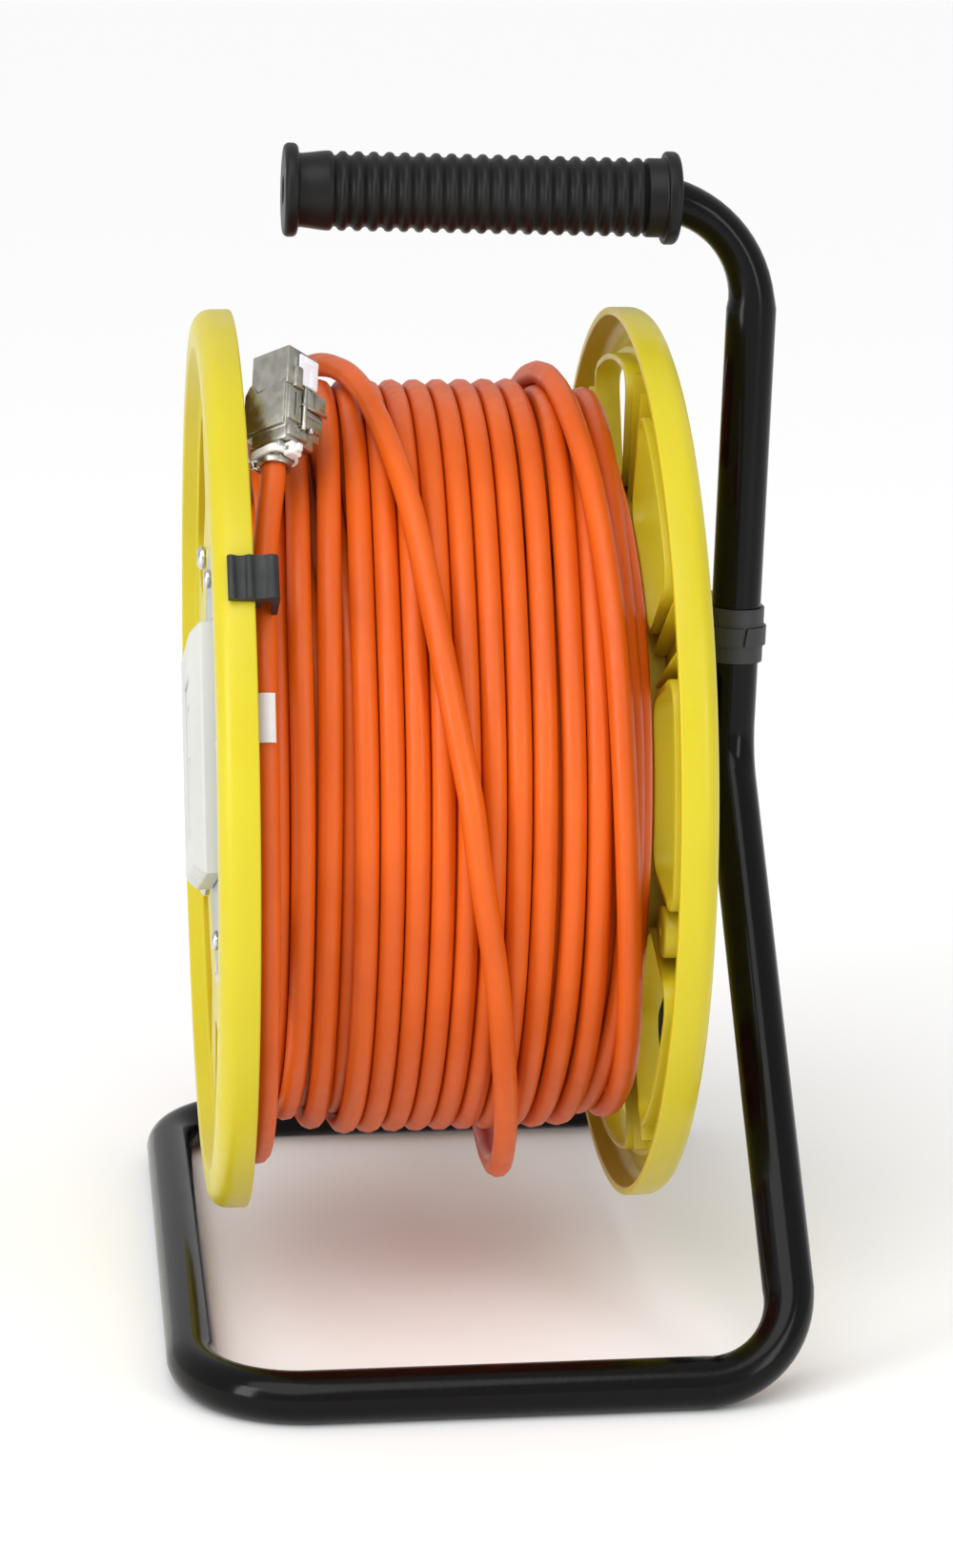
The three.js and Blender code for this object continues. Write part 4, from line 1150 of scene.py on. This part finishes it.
def make_contacts(material):
    """The eight spring contacts inside the port."""
    bm = bmesh.new()
    count, pitch = 8, 1.02
    for k in range(count):
        x = (k - (count - 1) / 2) * pitch
        path = [Vector((x, y, z)) for y, z in ((4.0, -2.5), (2.6, -5.0), (0.6, -9.5), (0.2, -13.8))]
        sweep_into(bm, path, circle(0.2, 6))
    contacts = piece_of("keystone_contacts", bm, material, 40)
    return on_keystone(contacts, "keystone_metal")


def make_hinge_pins(material):
    """Three pins with turned-down ends: each is (start, end, radius)."""
    pins = [
        ((8.6, -0.4, -26.4), (8.6, -0.4, -12.2), 0.75),
        ((8.7, -1.6, -18.1), (8.7, 9.2, -18.1), 0.6),
        ((8.5, 3.0, -26.4), (8.5, 3.0, -24.2), 0.9),
    ]
    sides = 16
    bm = bmesh.new()
    for start, end, radius in pins:
        start, end = Vector(start), Vector(end)
        tip = (end - start).normalized() * 0.3
        path = [start, start + tip, end - tip, end]
        before = len(bm.verts)
        sweep_into(bm, path, circle(radius, sides))
        bm.verts.ensure_lookup_table()
        for ring, middle in ((0, start), (3, end)):
            first = before + ring * sides
            for vert in bm.verts[first : first + sides]:
                vert.co = middle + (vert.co - middle) * 0.72
    pin = piece_of("keystone_pins", bm, material, 40)
    return on_keystone(pin, "keystone_metal")


def make_keystone_cap(material):
    """The cap behind the jaws, its neck, and the ferrule round the cable."""
    x, y = NECK
    cap = joined_boxes("keystone_cap_skin", [
        ((-6.4, -7.4, -33.0), (5.4, 3.6, -31.2), 0.4),
        ((x - 4.7, y - 4.7, -35.1), (x + 4.7, y + 4.7, -32.5), 0.9),
        ((x - 5.9, y - 4.2, -37.8), (x - 4.9, y + 1.0, -31.6), 0.3),
    ], material)
    sides = 36
    profile = [(4.0, -37.4), (5.3, -37.4), (5.5, -36.8), (5.1, -34.4), (5.0, -33.0), (4.0, -33.0)]
    bm = bmesh.new()
    loops = []
    for k in range(sides):
        angle = TURN * k / sides
        across, over = math.cos(angle), math.sin(angle)
        loops.append([(x + radius * across, y + radius * over, z) for radius, z in profile])
    shell_between(bm, loops)
    boolean(cap, tool_object(bm), "UNION")
    resharpen(cap, 40)
    return on_keystone(cap, "keystone_metal", "keystone_cap")


def make_keystone_latch(material):
    latch = joined_boxes("keystone_latch_skin", [
        ((7.9, -3.4, -11.5), (8.8, 4.6, -1.6), 0.3),
        ((8.2, -1.6, -4.2), (9.1, 4.4, -1.8), 0.3),
        ((8.2, 1.2, -11.3), (9.1, 4.4, -6.0), 0.3),
    ], material)
    return on_keystone(latch, "insert_white", "keystone_latch")


def make_tie(material):
    """A nylon cable tie pulled round the jack's neck, with its ratchet head to the right."""
    x, y = NECK
    reach, corner, height, tilt = 5.5, 3.0, -34.2, 0.12
    half_thick, half_wide = 0.55, 1.25
    signs = [(-1, -1), (1, -1), (1, 1), (-1, 1)]
    loop = rounded([(x + reach * a, y + reach * b) for a, b in signs], corner, 6)
    path = [Vector((a, b, height + (a - x) * tilt)) for a, b in loop]
    section = rounded([(half_thick * a, half_wide * b) for a, b in signs], 0.2, 2)
    bm = bmesh.new()
    sweep_into(bm, path, section, closed=True, up=Vector((0, 0, 1)))
    tie = piece_of("tie_strap", bm, material, 40)
    head = ((x + 5.4, -5.0, -35.6), (x + 9.0, -0.4, -31.4), 0.6)
    stub = ((x + 8.6, -3.6, -34.6), (x + 10.6, -1.8, -32.2), 0.3)
    for low, high, bevel in (head, stub):
        box_tool(tie, low, high, bevel, 3, "UNION")
    box_tool(tie, (x + 6.2, -6, -34.3), (x + 7.6, 1, -32.7), 0.1, 1)
    resharpen(tie, 40)
    return on_keystone(tie, "insert_white")


def make_drain_wire(material):
    """Two tinned strands twisted together, curled off the neck."""
    knots = [
        (-3.0, -6.9, -36.0), (-4.0, -9.2, -37.2), (-3.7, -11.0, -36.9), (-2.6, -10.4, -38.4),
        (-3.5, -8.8, -39.3), (-2.4, -7.4, -38.8),
    ]
    step, lay, offset = 0.2, 2.2, 0.34
    line = smooth_path([Vector(knot) for knot in knots], step)
    bm = bmesh.new()
    for phase in (0, math.pi):
        path = []
        for i, point in enumerate(line):
            along = (line[min(i + 1, len(line) - 1)] - line[max(i - 1, 0)]).normalized()
            side = along.cross(Vector((0.3, 0.2, 1))).normalized()
            angle = phase + i * step / lay * TURN
            outward = side * math.cos(angle) + along.cross(side) * math.sin(angle)
            path.append(point + outward * offset)
        sweep_into(bm, path, circle(0.33, 8))
    wire = piece_of("drain_wire", bm, material, 60)
    return on_keystone(wire, "keystone_metal")


# ---------------------------------------------------------------- stage and run

FLOOR = 60.0  # half its width in metres: it fills the picture up to the top edge


def make_stage():
    world = bpy.data.worlds.new("studio")
    world.use_nodes = True
    background = world.node_tree.nodes["Background"]
    background.inputs["Color"].default_value = (1, 1, 1, 1)
    background.inputs["Strength"].default_value = 0.7
    bpy.context.scene.world = world
    bpy.context.scene.view_settings.view_transform = "Standard"

    mesh = bpy.data.meshes.new("floor")
    corners = [(-FLOOR, -FLOOR, 0), (FLOOR, -FLOOR, 0), (FLOOR, FLOOR, 0), (-FLOOR, FLOOR, 0)]
    mesh.from_pydata(corners, [], [(0, 1, 2, 3)])
    floor = bpy.data.objects.new("floor", mesh)
    bpy.context.scene.collection.objects.link(floor)
    mesh.materials.append(new_material("floor", (0.94, 0.94, 0.94), 0.8))


def aimed(lamp, at):
    """Places a light, at metres from the axle's centre, and points it there."""
    lamp.location = CENTRE + Vector(at)
    lamp.rotation_euler = (-Vector(at)).to_track_quat("-Z", "Y").to_euler()
    bpy.context.scene.collection.objects.link(lamp)


def add_panel(name, at, size, power):
    data = bpy.data.lights.new(name, "AREA")
    data.shape = "RECTANGLE"
    data.size, data.size_y = size
    data.energy = power
    aimed(bpy.data.objects.new(name, data), at)


def make_lights():
    data = bpy.data.lights.new("soft_sun", "SUN")
    data.energy = 1.35
    data.angle = math.radians(50)
    aimed(bpy.data.objects.new("soft_sun", data), (-0.5, -1.0, 1.5))
    add_panel("left_panel", (-1.5, -1.1, 0.5), (0.5, 1.2), 14)
    add_panel("right_panel", (1.1, -1.5, 0.6), (0.4, 1.2), 7)


make_camera()
sheath = cable_sheath()
cable = make_cable(sheath)
make_stage()
make_lights()
black = gloss_black()
collar_look = collar_plastic()
yellow = flange_plastic()
outlet_look = outlet_plastic()
metal = nickel_casting()
steel = bright_steel()
nylon = bush_nylon()
zinc = zinc_plate()

make_frame_tube(black)
make_grip(grip_rubber())
make_collar(collar_look)
softened("axle_plate", "frame", "frame_black", black, 0.8)
softened("axle", "frame", "bare_steel", steel, 0.6)
softened("axle_washer", "frame", "zinc_screw", zinc, 0.3)
softened("axle_bolt", "frame", "zinc_screw", zinc, 0.4)
softened("hub_spacer", "frame", "bush_nylon", nylon, 0.5)

quarters = (0, 90, 180, 270)
core_drills = [(45 + turn, 80, 2.4) for turn in quarters]
left_drills = core_drills + [(18 + turn, 59, 1.8) for turn in quarters]
right_drills = core_drills + [(turn, 27, 2.1) for turn in quarters]
make_flange("left_flange", -1, yellow, 65.5, 68.0, 8.0, 63.0, 46, 1.8, left_drills)
make_flange("right_flange", 1, yellow, 67.5, 70.0, 5.5, 61.7, 16.4, 0.5, right_drills)
core_look = core_plastic()
softened("drum_core", "drum", "core_yellow", core_look, 0.3)
softened("hub_sleeve", "drum", "core_yellow", core_look, 0.4)
softened("bush_left", "drum", "bush_nylon", nylon, 0.3)
softened("bush_right", "drum", "bush_nylon", nylon, 0.3)
make_screws(zinc, "left_flange_screw", 45, 80, -68.3, (4, 2.6, 1.9, 14))
make_screws(zinc, "right_flange_screw", 45, 80, 70.3, (4, 2.6, 1.9, 14))
make_screws(zinc, "hub_screw", 0, 27, 69.8, (3.6, 2.4, 1.5, 5.4))
make_screws(zinc, "disc_screw", 18, 59, -68.3, (3.2, 2.2, 1.5, 7))
make_clip(charcoal_plastic())

softened("outlet_disc", "drum", "disc_grey", disc_plastic(), 0.3)
softened("outlet_carrier", "drum", "bare_steel", steel, 0.2)
softened("outlet_frame", "drum", "outlet_grey", outlet_look, 0.7, limit=20, smooth=30)
softened("outlet_plate", "drum", "outlet_grey", outlet_look, 0.35)
label_look = label_film()
softened("label_window", "drum", "label_white", label_look, 0.3)
for letter in "ab":
    softened(f"outlet_jack_{letter}", "drum", "keystone_metal", metal, 0.3)
    softened(f"shutter_{letter}", f"shutter_{letter}", "outlet_grey", outlet_look, 0.2)
    softened(f"carrier_screw_{letter}", "drum", "zinc_screw", zinc, 0.3)
give(sheath, "outlet_lead")

on_cable = [
    make_label(label_look), make_keystone_body(metal), make_keystone_cap(metal),
    make_keystone_latch(white_moulding()), make_hinge_pins(metal), make_contacts(zinc),
    make_tie(tie_nylon()), make_drain_wire(zinc),
]
